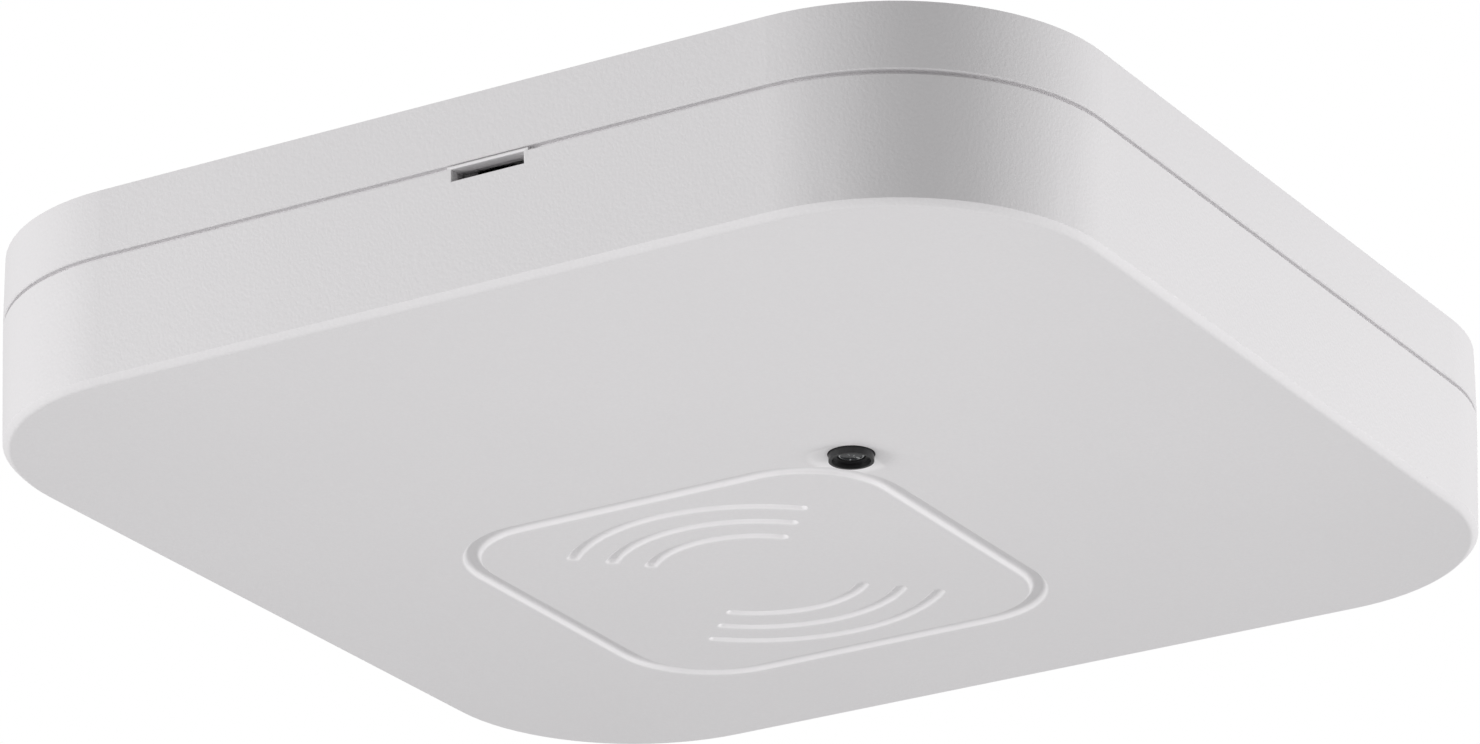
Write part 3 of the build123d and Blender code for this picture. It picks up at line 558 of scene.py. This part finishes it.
class DETECTOR_OT_case(bpy.types.Operator):
    """Finishes the case, its hooks and the cable grommet"""

    bl_idname = "detector.case"
    bl_label = "Case"

    def finish_plastic(self, look):
        """Spark-eroded white plastic, smooth in its grooves and at the seam, with painted light
        in the grooves and the seam's shadow gap and painted shade on the groove floors.
        """
        finish = Finish("spark_eroded_white_plastic")
        fine = finish.noise(look.grain / MM, detail=3.0)
        broad = finish.noise(26.0)
        face, rim = [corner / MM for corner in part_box("front_cover")]
        panel, _ = spread_of("rf_board")
        beside = abs(finish.x - panel.x) | abs(finish.y - panel.y)
        depth = finish.z - face.z
        engraved = beside.fall(ENGRAVED, ENGRAVED + 0.5)
        groove = engraved * depth.rise(0.02, 0.12) * depth.fall(0.35, PANEL_DEPTH)
        parting = finish.z.line(rim.z - GAP_MIDDLE, GAP_HALF, 0.03)
        smooth = groove | parting
        finish.relief(fine.rise(0.25, 0.75) * (1 - smooth), look.relief / MM)
        tint = finish.shaded(look.plastic, broad, 0.006)
        tint = finish.mix(fine.rise(0.3, 0.7) * 0.5, tint, dimmed(look.plastic, 0.97))
        # Painted shade: the floors of the grooves are painted darker.
        dust_and_shade = engraved * depth.rise(0.38, 0.52) * depth.fall(1.2, 1.3)
        tint = finish.mix(dust_and_shade, tint, dimmed(look.plastic, 0.93))
        return finish.set({
            # Painted light: the grooves, and the seam's shadow gap at a little over half
            # strength, are painted a lighter colour.
            "Base Color": finish.mix(groove | parting * 0.55, tint, look.polished),
            "Roughness": look.roughness + (fine - 0.5) * 0.04 - smooth * 0.1,
            "IOR": 1.46,
        })

    def finish_rubber(self, look):
        """Black rubber with dust on it."""
        finish = Finish("grommet_rubber")
        dusty = finish.noise(1.6, detail=5.0)
        finish.relief(finish.noise(0.25), 0.02)
        dust_and_shade = finish.mix(dusty.rise(0.45, 0.75) * 0.35, look.rubber, (0.10, 0.10, 0.098))
        return finish.set({"Base Color": dust_and_shade, "Roughness": 0.62 + dusty * 0.2})

    def make_cover(self, look):
        """A merged copy of the cover's solid, eased along its grooves, seam and release slot."""
        low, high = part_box("front_cover")
        cover = merged_copy("front_cover", "cover_moulding")
        foot = high.z - TAB_FOOT * MM

        def at_tab_foot(middle, direction):
            return abs(middle.y - low.y) < LEVEL / 2 and abs(middle.z - foot) < LEVEL / 2

        def at_seam(middle, direction):
            under_rim = (high.z - middle.z) / MM
            beside_slot = abs(middle.x / MM - SLOT_X) < SLOT_HALF and under_rim < SLOT_FOOT
            at_slot = beside_slot and middle.y < low.y + 0.1 * MM
            return SEAM_TOP < under_rim < SEAM_FOOT or at_slot

        with editing(cover):
            pick(cover, "EDGE", at_tab_foot)
            bpy.ops.transform.translate(value=(0, TAB_PROUD * MM, 0))
            merge_corners()
        ease(cover, look.panel_foot, 4, at_level(low.z + PANEL_DEPTH * MM), convex=False)
        ease(cover, look.wave_foot, 3, at_level(low.z + WAVE_DEPTH * MM), convex=False)
        ease(cover, look.lip, 3, at_level(low.z))
        ease(cover, look.edge, 2, at_seam)
        return cover

    def cut_window(self, hooks, turn, middle_x):
        """Cuts a window's outline into both faces of an arm, and opens it between them."""
        reach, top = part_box("cover_snap_hooks")[1].yz / MM
        along = Vector((cos(turn), sin(turn), 0))
        inward = UP.cross(along)
        for side, depth, head in ARM_FACES:
            for direction, place in (
                (along, middle_x - WINDOW_HALF), (along, middle_x + WINDOW_HALF),
                (UP, top - WINDOW_FOOT), (UP, top - head),
            ):
                pick(hooks, "FACE", lambda middle, normal: (
                    side * normal.dot(inward) > FACING
                    and abs(middle.dot(inward) + (reach - depth) * MM) < LEVEL
                ))
                bpy.ops.mesh.bisect(plane_co=direction * place * MM, plane_no=direction)
        above, below = WINDOW_INSIDE
        pick(hooks, "FACE", lambda middle, normal: (
            abs(normal.dot(inward)) > FACING and middle.dot(inward) < 0
            and abs(middle.dot(along) / MM - middle_x) < 0.1
            and above < top - middle.z / MM < below
        ))
        bpy.ops.mesh.bridge_edge_loops()

    def make_hooks(self):
        """The snap hooks, each with a window through its arm for the screwdriver's tip."""
        hooks = merged_copy("cover_snap_hooks", "snap_hooks")
        with editing(hooks):
            for number, middle_x in enumerate(HOOK_MIDDLES):
                self.cut_window(hooks, number * pi / 2, middle_x)
        return hooks

    def execute(self, context):
        look = context.scene.detector_case
        plastic = self.finish_plastic(look)
        dress(plastic, "base_housing", "front_cover", "cover_snap_hooks")
        cover = self.make_cover(look)
        settle(cover, "case_plastic", plastic, "front_cover", body="cover")
        weigh_normals(cover)
        settle(self.make_hooks(), "case_plastic", plastic, "cover_snap_hooks", body="cover")
        dress(self.finish_rubber(look), "cable_grommet")
        return {"FINISHED"}


class DETECTOR_OT_sensor(bpy.types.Operator):
    """Finishes the sensor's tube and makes its domed clear guide"""

    bl_idname = "detector.sensor"
    bl_label = "Light sensor"

    def finish_lens(self, look):
        """Clear plastic over a dark tube, with a painted highlight ring at its edge and painted
        glints at random.
        """
        finish = Finish("clear_guide")
        haze = finish.noise(0.5, detail=3.0)
        centre, half = spread_of("light_guide")
        out = distance(finish.x - centre.x, finish.y - centre.y)
        # Painted highlights: glints at random over the guide, and a ring at its edge.
        painted_glint = finish.noise(0.42, detail=1.0).rise(0.62, 0.68)
        painted_glint = painted_glint * out.fall(half.x - 0.4, half.x - 0.2)
        painted_highlight = out.line(half.x - 0.16, 0.07, 0.06) | painted_glint * 0.7
        return finish.set({
            "Base Color": finish.mix(painted_highlight, finish.shaded(look.lens, haze, 0.3), look.rim),
            "Roughness": 0.06 + haze * 0.06,
            "IOR": 1.45,
        })

    def execute(self, context):
        look = context.scene.detector_sensor
        dress(moulded("satin_black_tube", look.tube, 0.12, 0.004, 0.38), "light_tube")
        dress(moulded("sensor_chip", (0.02, 0.02, 0.022), grain=0.1), "light_sensor")
        low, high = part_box("light_guide")
        guide = drum("sensor_guide", low + UP * look.recess, high, look.dome, segments=8)
        settle(guide, "guide_clear", self.finish_lens(look), "light_guide", smooth=60)
        return {"FINISHED"}


class DETECTOR_OT_board(bpy.types.Operator):
    """Finishes the main board, its screws and chips, and makes the processor's legs"""

    bl_idname = "detector.board"
    bl_label = "Main board"

    outlined = (
        "terminal_block", "relay", "supply_transformer", "suppression_capacitor",
        "mains_choke", "fuse", "surge_varistor", "processor_chip", "dip_switch_body",
    )
    hole_pitch = 2.54
    resistor_pitch = 4.0
    resistor_half = 1.0
    mark_in = 1.1

    def outline(self, finish, node):
        """A printed outline round a part that stands on the board."""
        centre, half = spread_of(node)
        beyond = (abs(finish.x - centre.x) - half.x) | (abs(finish.y - centre.y) - half.y)
        return beyond.line(0.55, 0.09, 0.04)

    def tracks(self, finish, along, across, pitch, run):
        """Copper tracks along one axis, in runs that are there or not at random."""
        row, block = (across / pitch).whole(), (along / run).whole()
        there = finish.cells(row, block, (row + block) * 0.37).rise(0.60, 0.61)
        return there * (across / pitch).fraction().line(0.5, 0.10, 0.04)

    def finish_board(self, look):
        """Green mask over tracks, with tinned holes, printed outlines and bare edges."""
        finish = Finish("main_board_mask")
        weave = finish.noise(0.5, detail=2.0)
        warp = self.tracks(finish, finish.x, finish.y, pitch=1.9, run=9.0)
        weft = self.tracks(finish, finish.y, finish.x, pitch=2.3, run=12.0)
        copper = warp | weft
        lighter = [min(1, 2.1 * channel + 0.012) for channel in look.mask]
        mask = finish.mix(copper, finish.shaded(look.mask, weave, 0.10), lighter)
        grid_x, grid_y = finish.x / self.hole_pitch, finish.y / self.hole_pitch
        cell_x, cell_y = grid_x.whole(), grid_y.whole()
        chosen = finish.cells(cell_x, cell_y, cell_x * 0.11).rise(0.90, 0.905)
        out = distance(grid_x.fraction() - 0.5, grid_y.fraction() - 0.5)
        pad = chosen * out.fall(0.20, 0.22)
        hole = chosen * out.fall(0.09, 0.10)
        ink = reduce(or_, [self.outline(finish, node) for node in self.outlined])
        top = finish.mix(pad, mask, look.tin)
        top = finish.mix(hole, top, (0.01, 0.01, 0.01))
        top = finish.mix(ink, top, look.print_ink)
        side = finish.upward().line(0, 0.4, 0.2)
        finish.relief(copper + pad, 0.035)
        return finish.set({
            "Base Color": finish.mix(side, top, finish.shaded(look.laminate, weave, 0.15)),
            "Metallic": pad * (1 - hole) * (1 - side),
            "Roughness": 0.30 + side * 0.4 + ink * 0.25 + weave * 0.06,
        })

    def finish_resistors(self, look):
        """Dark film between tinned ends, on every small resistor."""
        finish = Finish("surface_resistor")
        pitch = self.resistor_pitch
        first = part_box("surface_resistors")[0].x / MM + self.resistor_half
        out = abs(((finish.x - first) / pitch + 0.5).fraction() - 0.5) * pitch
        tinned = out.rise(0.62, 0.66)
        body = finish.shaded((0.02, 0.02, 0.024), finish.noise(0.3), 0.2)
        return finish.set({
            "Base Color": finish.mix(tinned, body, look.tin),
            "Metallic": tinned,
            "Roughness": 0.3 + tinned * 0.12,
        })

    def finish_chip(self, look):
        """Black moulding with a round first-pin mark and a slightly matt top."""
        finish = Finish("chip_moulding")
        fine = finish.noise(0.15, detail=3.0)
        low, high = [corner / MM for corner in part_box("processor_chip")]
        left, back = low.x + self.mark_in, high.y - self.mark_in
        mark = distance(finish.x - left, finish.y - back).fall(0.42, 0.5)
        finish.relief(fine - mark * 6, 0.01)
        tint = finish.shaded(look.chip, fine, 0.15)
        return finish.set({
            "Base Color": finish.mix(mark, tint, (0.05, 0.05, 0.052)),
            "Roughness": 0.42 + fine * 0.12,
        })

    def make_legs(self, look):
        """Bent legs on the four sides of the processor, drawn once and copied."""
        low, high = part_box("processor_chip")
        centre, half = (low + high) / 2, (high.x - low.x) / 2
        wide, thick = 0.34 * MM, 0.15 * MM
        root, reach, slope = 0.05 * MM, 0.45 * MM, 0.2 * MM
        leg = start_block(
            "leg", (half - root, -wide / 2, -thick / 2), (half + reach, wide / 2, thick / 2)
        )
        with editing(leg):
            pick(leg, "FACE", lambda middle, normal: normal.x > FACING)
            drop = high.z - centre.z - thick / 2
            for step in ((slope, 0, drop), (reach, 0, 0)):
                bpy.ops.mesh.extrude_region_move(TRANSFORM_OT_translate={"value": step})
        count = int((2 * half - 1.0 * MM) / look.leg_pitch) + 1
        legs = []
        for side in range(4):
            for i in range(count):
                along = (i - (count - 1) / 2) * look.leg_pitch
                twin = copied(leg, f"leg_{side}_{i}", (0, along, 0))
                twin.rotation_euler.z = side * pi / 2
                twin.location = centre
                fix(twin)
                legs.append(twin)
        bpy.data.objects.remove(leg)
        return joined("processor_legs", legs)

    def execute(self, context):
        look = context.scene.detector_board
        dress(self.finish_board(look), "main_board")
        dress(self.finish_resistors(look), "surface_resistors")
        dress(self.finish_chip(look), "processor_chip", "rectifier")
        dress(metal("zinc_plated_screw", (0.60, 0.60, 0.58), 0.34), "board_screws")
        tin = metal("tinned_legs", look.tin, 0.30, along="y")
        settle(self.make_legs(look), "shield_tin", tin)
        return {"FINISHED"}


class DETECTOR_OT_radar(bpy.types.Operator):
    """Finishes the radar board and its can, spacers and header, and solders the pins"""

    bl_idname = "detector.radar"
    bl_label = "Radar board"

    group_x = 8.2
    patch_pitch = 6.2
    patch_half = 1.65
    feed_half = 0.14
    pin_count = 5

    def finish_board(self, look):
        """Pale mask with two groups of antenna patches and their feed lines."""
        finish = Finish("radar_board_mask")
        centre, _ = spread_of("rf_board")
        pitch = self.patch_pitch
        across, along = abs(finish.x - centre.x) - self.group_x, finish.y - centre.y
        near = abs(abs(across) - pitch / 2)
        level = abs((along / pitch + 0.5).fraction() - 0.5) * pitch
        block = (abs(across) - pitch) | (abs(along) - 2.5 * pitch)
        inside = (near | level) - self.patch_half
        patches = block.fall(-0.1, 0.0) * inside.fall(0.0, 0.06)
        feed_up = near.line(0, self.feed_half, 0.05) * along.line(0, 2 * pitch - 0.1, 0.1)
        feed_in = along.line(0, self.feed_half, 0.05) * across.line(0, pitch / 2 - 0.1, 0.1)
        upward = finish.upward()
        side = upward.line(0, 0.4, 0.2)
        gold = (patches | feed_up | feed_in) * (0 - upward).rise(0.5, 0.6)
        cloud = finish.noise(3.0, detail=3.0)
        mask = finish.mix(gold, finish.shaded(look.radar_mask, cloud, 0.03), look.gold)
        finish.relief(gold, 0.03)
        return finish.set({
            "Base Color": finish.mix(side, mask, finish.shaded(look.laminate, cloud, 0.1)),
            "Metallic": gold,
            "Roughness": 0.34 + side * 0.3 - gold * 0.06 + cloud * 0.05,
        })

    def make_solder(self):
        """A small cone of solder round each header pin."""
        low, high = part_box("rf_header_pins")
        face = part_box("rf_board")[0].z
        tall, pin = 0.42 * MM, high.x - low.x
        pitch = (high.y - low.y - pin) / (self.pin_count - 1)
        first = start(
            "cone", "solder", vertices=24, radius1=0.46 * MM, radius2=0.95 * MM, depth=tall,
            location=((low.x + high.x) / 2, low.y + pin / 2, face - tall / 2),
        )
        round_edges(first, low_rim(first), 0.12 * MM, segments=3)
        shifts = [(0, i * pitch, 0) for i in range(1, self.pin_count)]
        return joined("header_solder", [first] + [copied(first, "solder", by) for by in shifts])

    def execute(self, context):
        look = context.scene.detector_board
        dress(self.finish_board(look), "rf_board")
        dress(metal("tin_plate_can", look.tin, 0.33), "rf_shield_can")
        dress(moulded("natural_nylon", (0.72, 0.71, 0.64), roughness=0.4), "rf_spacers")
        dress(moulded("header_black", (0.015, 0.015, 0.016), grain=0.2), "rf_header_block")
        dress(metal("gold_flashed_pin", look.gold, 0.25, along="z"), "rf_header_pins")
        solder = metal("solder", look.tin, 0.22, scratch=0.008)
        settle(self.make_solder(), "shield_tin", solder, smooth=50)
        return {"FINISHED"}


class DETECTOR_OT_power(bpy.types.Operator):
    """Makes and finishes the transformer, capacitors, choke, varistor, fuse and relay"""

    bl_idname = "detector.power"
    bl_label = "Power parts"

    crimp = (1.1, 1.5, 1.9)
    crimp_width = 0.93
    stripe_turn = 2.4

    def finish_sleeves(self, look, first, shift, radius, face):
        """Striped sleeves round bare scored tops, on both round capacitors."""
        finish = Finish("capacitor_sleeve")
        dx, dy = finish.x - first.x / MM, finish.y - first.y / MM
        gap = shift / MM
        dy = dy - dy.rise(gap / 2, gap / 2 + 0.001) * gap
        out, turn = distance(dx, dy), dy.angle_from(dx)
        bare = radius / MM - 0.75
        top = out.fall(bare, bare + 0.1) * finish.z.fall(face / MM + 1.2, face / MM + 1.3)
        score = (dx.line(0, 0.09, 0.05) | dy.line(0, 0.09, 0.05)) * out.fall(2.2, 2.4)
        stripe = turn.line(self.stripe_turn, 0.42, 0.02) * (1 - top)
        dashes = (finish.z / 2.2).fraction().line(0.5, 0.22, 0.02)
        dashes = dashes * turn.line(self.stripe_turn, 0.14, 0.02) * (1 - top)
        grain = finish.noise(0.8, detail=2.0)
        body = finish.mix(stripe, finish.shaded(look.sleeve, grain, 0.2), (0.42, 0.44, 0.47))
        body = finish.mix(dashes, body, look.sleeve)
        finish.relief(1 - score, 0.12)
        return finish.set({
            "Base Color": finish.mix(top, body, (0.72, 0.72, 0.73)),
            "Metallic": top,
            "Roughness": 0.26 + top * 0.12 + grain * 0.06,
        })

    def make_cans(self, look):
        """Two capacitors: sleeve rolled over the rim, bare top and a crimp at the foot."""
        low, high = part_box("supply_capacitors")
        radius = (high.x - low.x) / 2
        shift = high.y - low.y - 2 * radius
        corner = Vector((high.x, low.y + 2 * radius, high.z))
        centre = (low + corner) / 2
        can = drum("supply_can_1", low, corner, 0.5 * MM)
        sink_face(can, facing_down, 0.6 * MM, 0.18 * MM)
        with editing(can):
            for level in self.crimp:
                bpy.ops.mesh.select_all(action="SELECT")
                bpy.ops.mesh.bisect(plane_co=UP * (high.z - level * MM), plane_no=UP)
            pick(can, "EDGE", at_level(high.z - self.crimp[1] * MM))
            narrower = (self.crimp_width, self.crimp_width, 1)
            bpy.ops.transform.resize(value=narrower, center_override=centre)
        twin = copied(can, "supply_can_2", (0, shift, 0))
        finish = self.finish_sleeves(look, centre, shift, radius, low.z)
        for piece in (can, twin):
            settle(piece, "can_sleeve", finish, "supply_capacitors")

    def make_varistor(self, look):
        """A coated disc with round rims on two legs."""
        low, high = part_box("surge_varistor")
        centre, half = (low + high) / 2, (high - low) / 2
        centre.z = low.z + half.y
        disc = start(
            "cylinder", "varistor", vertices=ROUND, radius=half.y, depth=2 * half.x,
            location=centre, rotation=(0, pi / 2, 0),
        )
        round_edges(disc, lambda middle, direction: (
            abs(abs(middle.x - centre.x) - half.x) < LEVEL
        ), 1.5 * MM, segments=6)
        top, beside = centre.z + half.y * 0.7, 2.5 * MM
        leg = start(
            "cylinder", "leg", vertices=16, radius=0.35 * MM, depth=high.z - top,
            location=(centre.x, centre.y - beside, (high.z + top) / 2),
        )
        round_edges(leg, low_rim(leg), 0.1 * MM, segments=2)
        twin = copied(leg, "other_leg", (0, 2 * beside, 0))
        epoxy = moulded("blue_epoxy", look.varistor, 0.9, 0.05, 0.24, spread=0.1)
        piece = joined("varistor", [disc, leg, twin])
        settle(piece, "varistor_epoxy", epoxy, "surge_varistor", smooth=50)

    def finish_tape(self, look):
        """Glossy tape with creases and a seam at each lap."""
        finish = Finish("winding_tape")
        lap = (finish.z / 1.6).fraction().line(0.5, 0.03, 0.03)
        crease = finish.noise(1.2, detail=3.0)
        finish.relief(crease - lap * 0.8, 0.05)
        tint = finish.shaded(look.tape, crease, 0.12)
        return finish.set({
            "Base Color": finish.mix(lap, tint, dimmed(look.tape, 0.6)),
            "Roughness": 0.24 + crease * 0.1,
            "Coat Weight": 0.4,
        })

    def finish_ferrite(self, middle_x):
        """Porous dark ferrite with a gap between its two halves."""
        finish = Finish("ferrite")
        pores = finish.noise(0.35, detail=5.0)
        gap = finish.x.line(middle_x / MM, 0.06, 0.03)
        finish.relief(pores.rise(0.4, 0.6) - gap * 3, 0.02)
        tint = finish.shaded((0.045, 0.045, 0.048), pores, 0.3)
        return finish.set({
            "Base Color": finish.mix(gap, tint, (0.01, 0.01, 0.01)),
            "Roughness": 0.5 + pores * 0.15,
        })

    def make_transformer(self, look):
        """Bobbin on the board, taped winding and the two ferrite halves clamped round it."""
        low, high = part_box("supply_transformer")
        centre = (low + high) / 2
        deck = high.z - 3.0 * MM
        wound_half, wound_in, wound_low = 4.6 * MM, 0.5 * MM, 1.0 * MM
        core_half = 2.5 * MM
        bobbin = eased_block("transformer_bobbin", (low.x, low.y, deck), high, 0.3 * MM)
        winding = eased_block(
            "transformer_winding",
            (centre.x - wound_half, low.y + wound_in, low.z + wound_low),
            (centre.x + wound_half, high.y - wound_in, deck), 1.1 * MM, segments=5,
        )
        core = eased_block(
            "transformer_core", (low.x, centre.y - core_half, low.z),
            (high.x, centre.y + core_half, deck), 0.35 * MM,
        )
        dark = moulded("bobbin_black", (0.018, 0.018, 0.019), roughness=0.4)
        for piece, finish, smooth in (
            (bobbin, dark, 35),
            (winding, self.finish_tape(look), 50),
            (core, self.finish_ferrite(centre.x), 35),
        ):
            settle(piece, "transformer_tape", finish, "supply_transformer", smooth=smooth)

    def execute(self, context):
        look = context.scene.detector_power
        self.make_cans(look)
        self.make_varistor(look)
        self.make_transformer(look)

        choke = drum("choke", *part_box("mains_choke"), 1.0 * MM)
        sink_face(choke, facing_down, 1.5 * MM, 0.5 * MM)
        sleeve = moulded("shrink_sleeve", (0.014, 0.014, 0.015), 1.1, 0.05, 0.34)
        settle(choke, "choke_sleeve", sleeve, "mains_choke", smooth=40)

        fuse = drum("fuse_body", *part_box("fuse"), 0.7 * MM)
        cap = moulded("brown_fuse", look.fuse, grain=0.5, roughness=0.32)
        settle(fuse, "fuse_plastic", cap, "fuse", smooth=40)

        dress(moulded("relay_blue", look.relay, 0.25, 0.006, 0.36), "relay")
        dress(moulded("film_box", look.film, 0.3, 0.006, 0.34), "suppression_capacitor")
        return {"FINISHED"}


class DETECTOR_OT_controls(bpy.types.Operator):
    """Finishes the terminals, dials and mode switch, and prints the switch's numerals"""

    bl_idname = "detector.controls"
    bl_label = "Terminals, dials and switch"

    tick_step = 27
    tick_ring = 4.42
    tick_reach = 5.1
    text_size = 1.35  # of a text whose numerals are 1 high
    ink_half = 0.012

    def ticks(self, finish, dial):
        """Printed ticks round a dial."""
        centre, _ = spread_of(dial)
        dx, dy = finish.x - centre.x, finish.y - centre.y
        turn = dx.angle_from(dy) * (180 / pi / self.tick_step)
        tick = (turn + 0.5).fraction().line(0.5, 0.10, 0.04)
        ring = distance(dx, dy).line(self.tick_ring, 0.22, 0.04)
        return tick * ring * turn.line(0, self.tick_reach, 0.1)

    def finish_dial_bodies(self, look):
        """Blue bodies with printed ticks round each dial."""
        grain = 0.2
        finish = moulded("dial_body", look.dial_body, grain=grain, roughness=0.34)
        marks = reduce(or_, [self.ticks(finish, dial) for dial in DIALS])
        tint = finish.shaded(look.dial_body, finish.noise(grain * CLOUD), 0.05)
        return finish.set({"Base Color": finish.mix(marks, tint, (0.8, 0.8, 0.78))})

    def make_clamp(self, node, name, look):
        """A clamp low enough to leave room for its button when that is pressed."""
        clamp = merged_copy(node, name)
        with editing(clamp):
            bpy.ops.transform.resize(value=(1, 1, look.clamp), center_override=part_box(node)[1])
        ease(clamp, 0.08 * MM, 2, everywhere)
        return clamp

    def make_numeral(self, number, look):
        """A numeral beside its slider, raised by a coat of ink."""
        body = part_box("dip_switch_body")[0]
        low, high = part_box(f"dip_slider_{number}")
        place = ((low.x + high.x) / 2, body.y + 0.65 * MM, body.z - 0.01 * MM)
        bpy.ops.object.select_all(action="DESELECT")
        bpy.ops.object.text_add(location=place, rotation=(pi, 0, 0))
        text = bpy.context.object.data
        text.body = str(number)
        text.size = look.numeral * self.text_size
        text.align_x = text.align_y = "CENTER"
        text.extrude = self.ink_half * MM
        bpy.ops.object.convert(target="MESH")
        fix(bpy.context.object)
        return bpy.context.object

    def make_numerals(self, look):
        """The numerals 1 to 4 along the mode switch."""
        texts = [self.make_numeral(number, look) for number in NUMBERS]
        numerals = joined("switch_numerals", texts)
        with editing(numerals):
            bpy.ops.mesh.remove_doubles(threshold=MERGE)
            bpy.ops.mesh.dissolve_degenerate(threshold=MERGE)
        return numerals

    def execute(self, context):
        look = context.scene.detector_controls
        dress(moulded("terminal_grey", look.terminal, roughness=0.48), "terminal_block")
        spring = metal("spring_steel", (0.64, 0.64, 0.62), 0.28, along="y")
        button = moulded("button_orange", look.button, grain=0.22, roughness=0.4)
        slider = moulded("slider_white", (0.80, 0.80, 0.78), grain=0.15, roughness=0.35)
        for number in NUMBERS:
            node = f"terminal_clamp_{number}"
            dress(spring, node)
            clamp = self.make_clamp(node, f"spring_clamp_{number}", look)
            settle(clamp, "clamp_steel", spring, node)
            dress(button, f"terminal_button_{number}")
            dress(slider, f"dip_slider_{number}")
        dress(self.finish_dial_bodies(look), "dial_bodies")
        dress(moulded("ivory_dial", look.dial, grain=0.2, roughness=0.36), *DIALS)
        dress(moulded("switch_red", look.switch, grain=0.2, roughness=0.32), "dip_switch_body")
        ink = moulded("white_ink", (0.82, 0.82, 0.80), 0.08, 0.002, 0.5)
        settle(self.make_numerals(look), "slider_plastic", ink)
        return {"FINISHED"}


class DETECTOR_OT_stage(bpy.types.Operator):
    """Builds the floor, the soft lights, the bright surroundings and the camera"""

    bl_idname = "detector.stage"
    bl_label = "Stage"

    floor_side = 24
    near_corner = (0.030, -0.048)

    def soft_light(self, name, azimuth, elevation, away, side, watts, target):
        """A square light that faces a point. Azimuth 0 lies towards -Y, and 90 towards +X."""
        azimuth, elevation = radians(azimuth), radians(elevation)
        direction = Vector((
            sin(azimuth) * cos(elevation), -cos(azimuth) * cos(elevation), sin(elevation),
        ))
        bpy.ops.object.light_add(
            type="AREA", location=Vector(target) + direction * away,
            rotation=direction.to_track_quat("Z", "Y").to_euler(),
        )
        light = bpy.context.object
        light.name = name
        light.data.shape = "SQUARE"
        light.data.size = side
        light.data.energy = watts
        light.visible_camera = False

    def lights(self, look):
        """The soft lights, with angles in degrees, and distances and sides in metres."""
        ceiling, floor = (0, 0, 0), (0, 0, -look.floor_depth)
        face = (*self.near_corner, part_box("front_cover")[0].z)
        for row in (
            ("floor_light", 0, 90, 1.3, 14, look.floor_light, floor),
            ("upper_light", 211, 78, 1.6, 0.7, look.upper, ceiling),
            ("left_light", -47.5, -8, 1.2, 0.6, look.left, ceiling),
            ("right_light", 126.6, -8, 1.2, 0.6, look.right, ceiling),
            ("lower_light", 31, -89, 0.16, 0.075, look.under, face),
        ):
            self.soft_light(*row)

    def surroundings(self, context, look):
        """White where the camera sees it, and dimmer where it lights the object."""
        world = bpy.data.worlds.new("white_surroundings")
        context.scene.world = world
        world.use_nodes = True
        nodes = Nodes(world.node_tree)
        seen = nodes.node("ShaderNodeLightPath", output="Is Camera Ray")
        background = nodes.tree.nodes["Background"]
        nodes.feed(background.inputs["Color"], (1, 1, 1))
        nodes.feed(background.inputs["Strength"], look.ambient + seen * (1 - look.ambient))

    def camera(self, context, look):
        bpy.ops.object.camera_add(location=look.eye, rotation=look.turn)
        camera = bpy.context.object
        camera.name = "camera"
        camera.data.sensor_fit = "HORIZONTAL"
        camera.data.sensor_width = 36
        camera.data.lens = look.lens
        camera.data.clip_start = 0.01
        context.scene.camera = camera

    def execute(self, context):
        look = context.scene.detector_stage
        place = (0, 0, -look.floor_depth)
        floor = start("plane", "floor", size=self.floor_side, location=place)
        paint = Finish("pale_floor")
        cloud = paint.noise(300.0)
        tint = paint.shaded(look.floor, cloud, 0.01)
        paint.set({"Base Color": tint, "Roughness": 0.8 + cloud * 0.05})
        floor.data.materials.append(paint.material)
        self.lights(look)
        self.surroundings(context, look)
        self.camera(context, look)
        context.scene.view_settings.view_transform = "Standard"
        return {"FINISHED"}


STEPS = (
    DETECTOR_OT_case, DETECTOR_OT_sensor, DETECTOR_OT_board, DETECTOR_OT_radar,
    DETECTOR_OT_power, DETECTOR_OT_controls, DETECTOR_OT_stage,
)
GROUPS = {
    "detector_case": DetectorCase,
    "detector_sensor": DetectorSensor,
    "detector_board": DetectorBoard,
    "detector_power": DetectorPower,
    "detector_controls": DetectorControls,
    "detector_stage": DetectorStage,
}


class DETECTOR_PT_panel(bpy.types.Panel):
    """Lists the detector's steps, and the sizes and colours that they use"""

    bl_label = "Ceiling motion detector"
    bl_idname = "DETECTOR_PT_panel"
    bl_space_type = "VIEW_3D"
    bl_region_type = "UI"
    bl_category = "Detector"

    def draw(self, context):
        for step in STEPS:
            self.layout.operator(step.bl_idname)
        for name, group in GROUPS.items():
            box = self.layout.box()
            box.label(text=group.__doc__)
            for prop in group.__annotations__:
                box.prop(getattr(context.scene, name), prop)


CLASSES = (*GROUPS.values(), *STEPS, DETECTOR_PT_panel)


def register():
    for member in CLASSES:
        bpy.utils.register_class(member)
    for name, group in GROUPS.items():
        setattr(bpy.types.Scene, name, bpy.props.PointerProperty(type=group))


def unregister():
    for name in GROUPS:
        delattr(bpy.types.Scene, name)
    for member in reversed(CLASSES):
        bpy.utils.unregister_class(member)


def main():
    register()
    for step in STEPS:
        group, name = step.bl_idname.split(".")
        getattr(getattr(bpy.ops, group), name)()


if __name__ == "__main__":
    main()
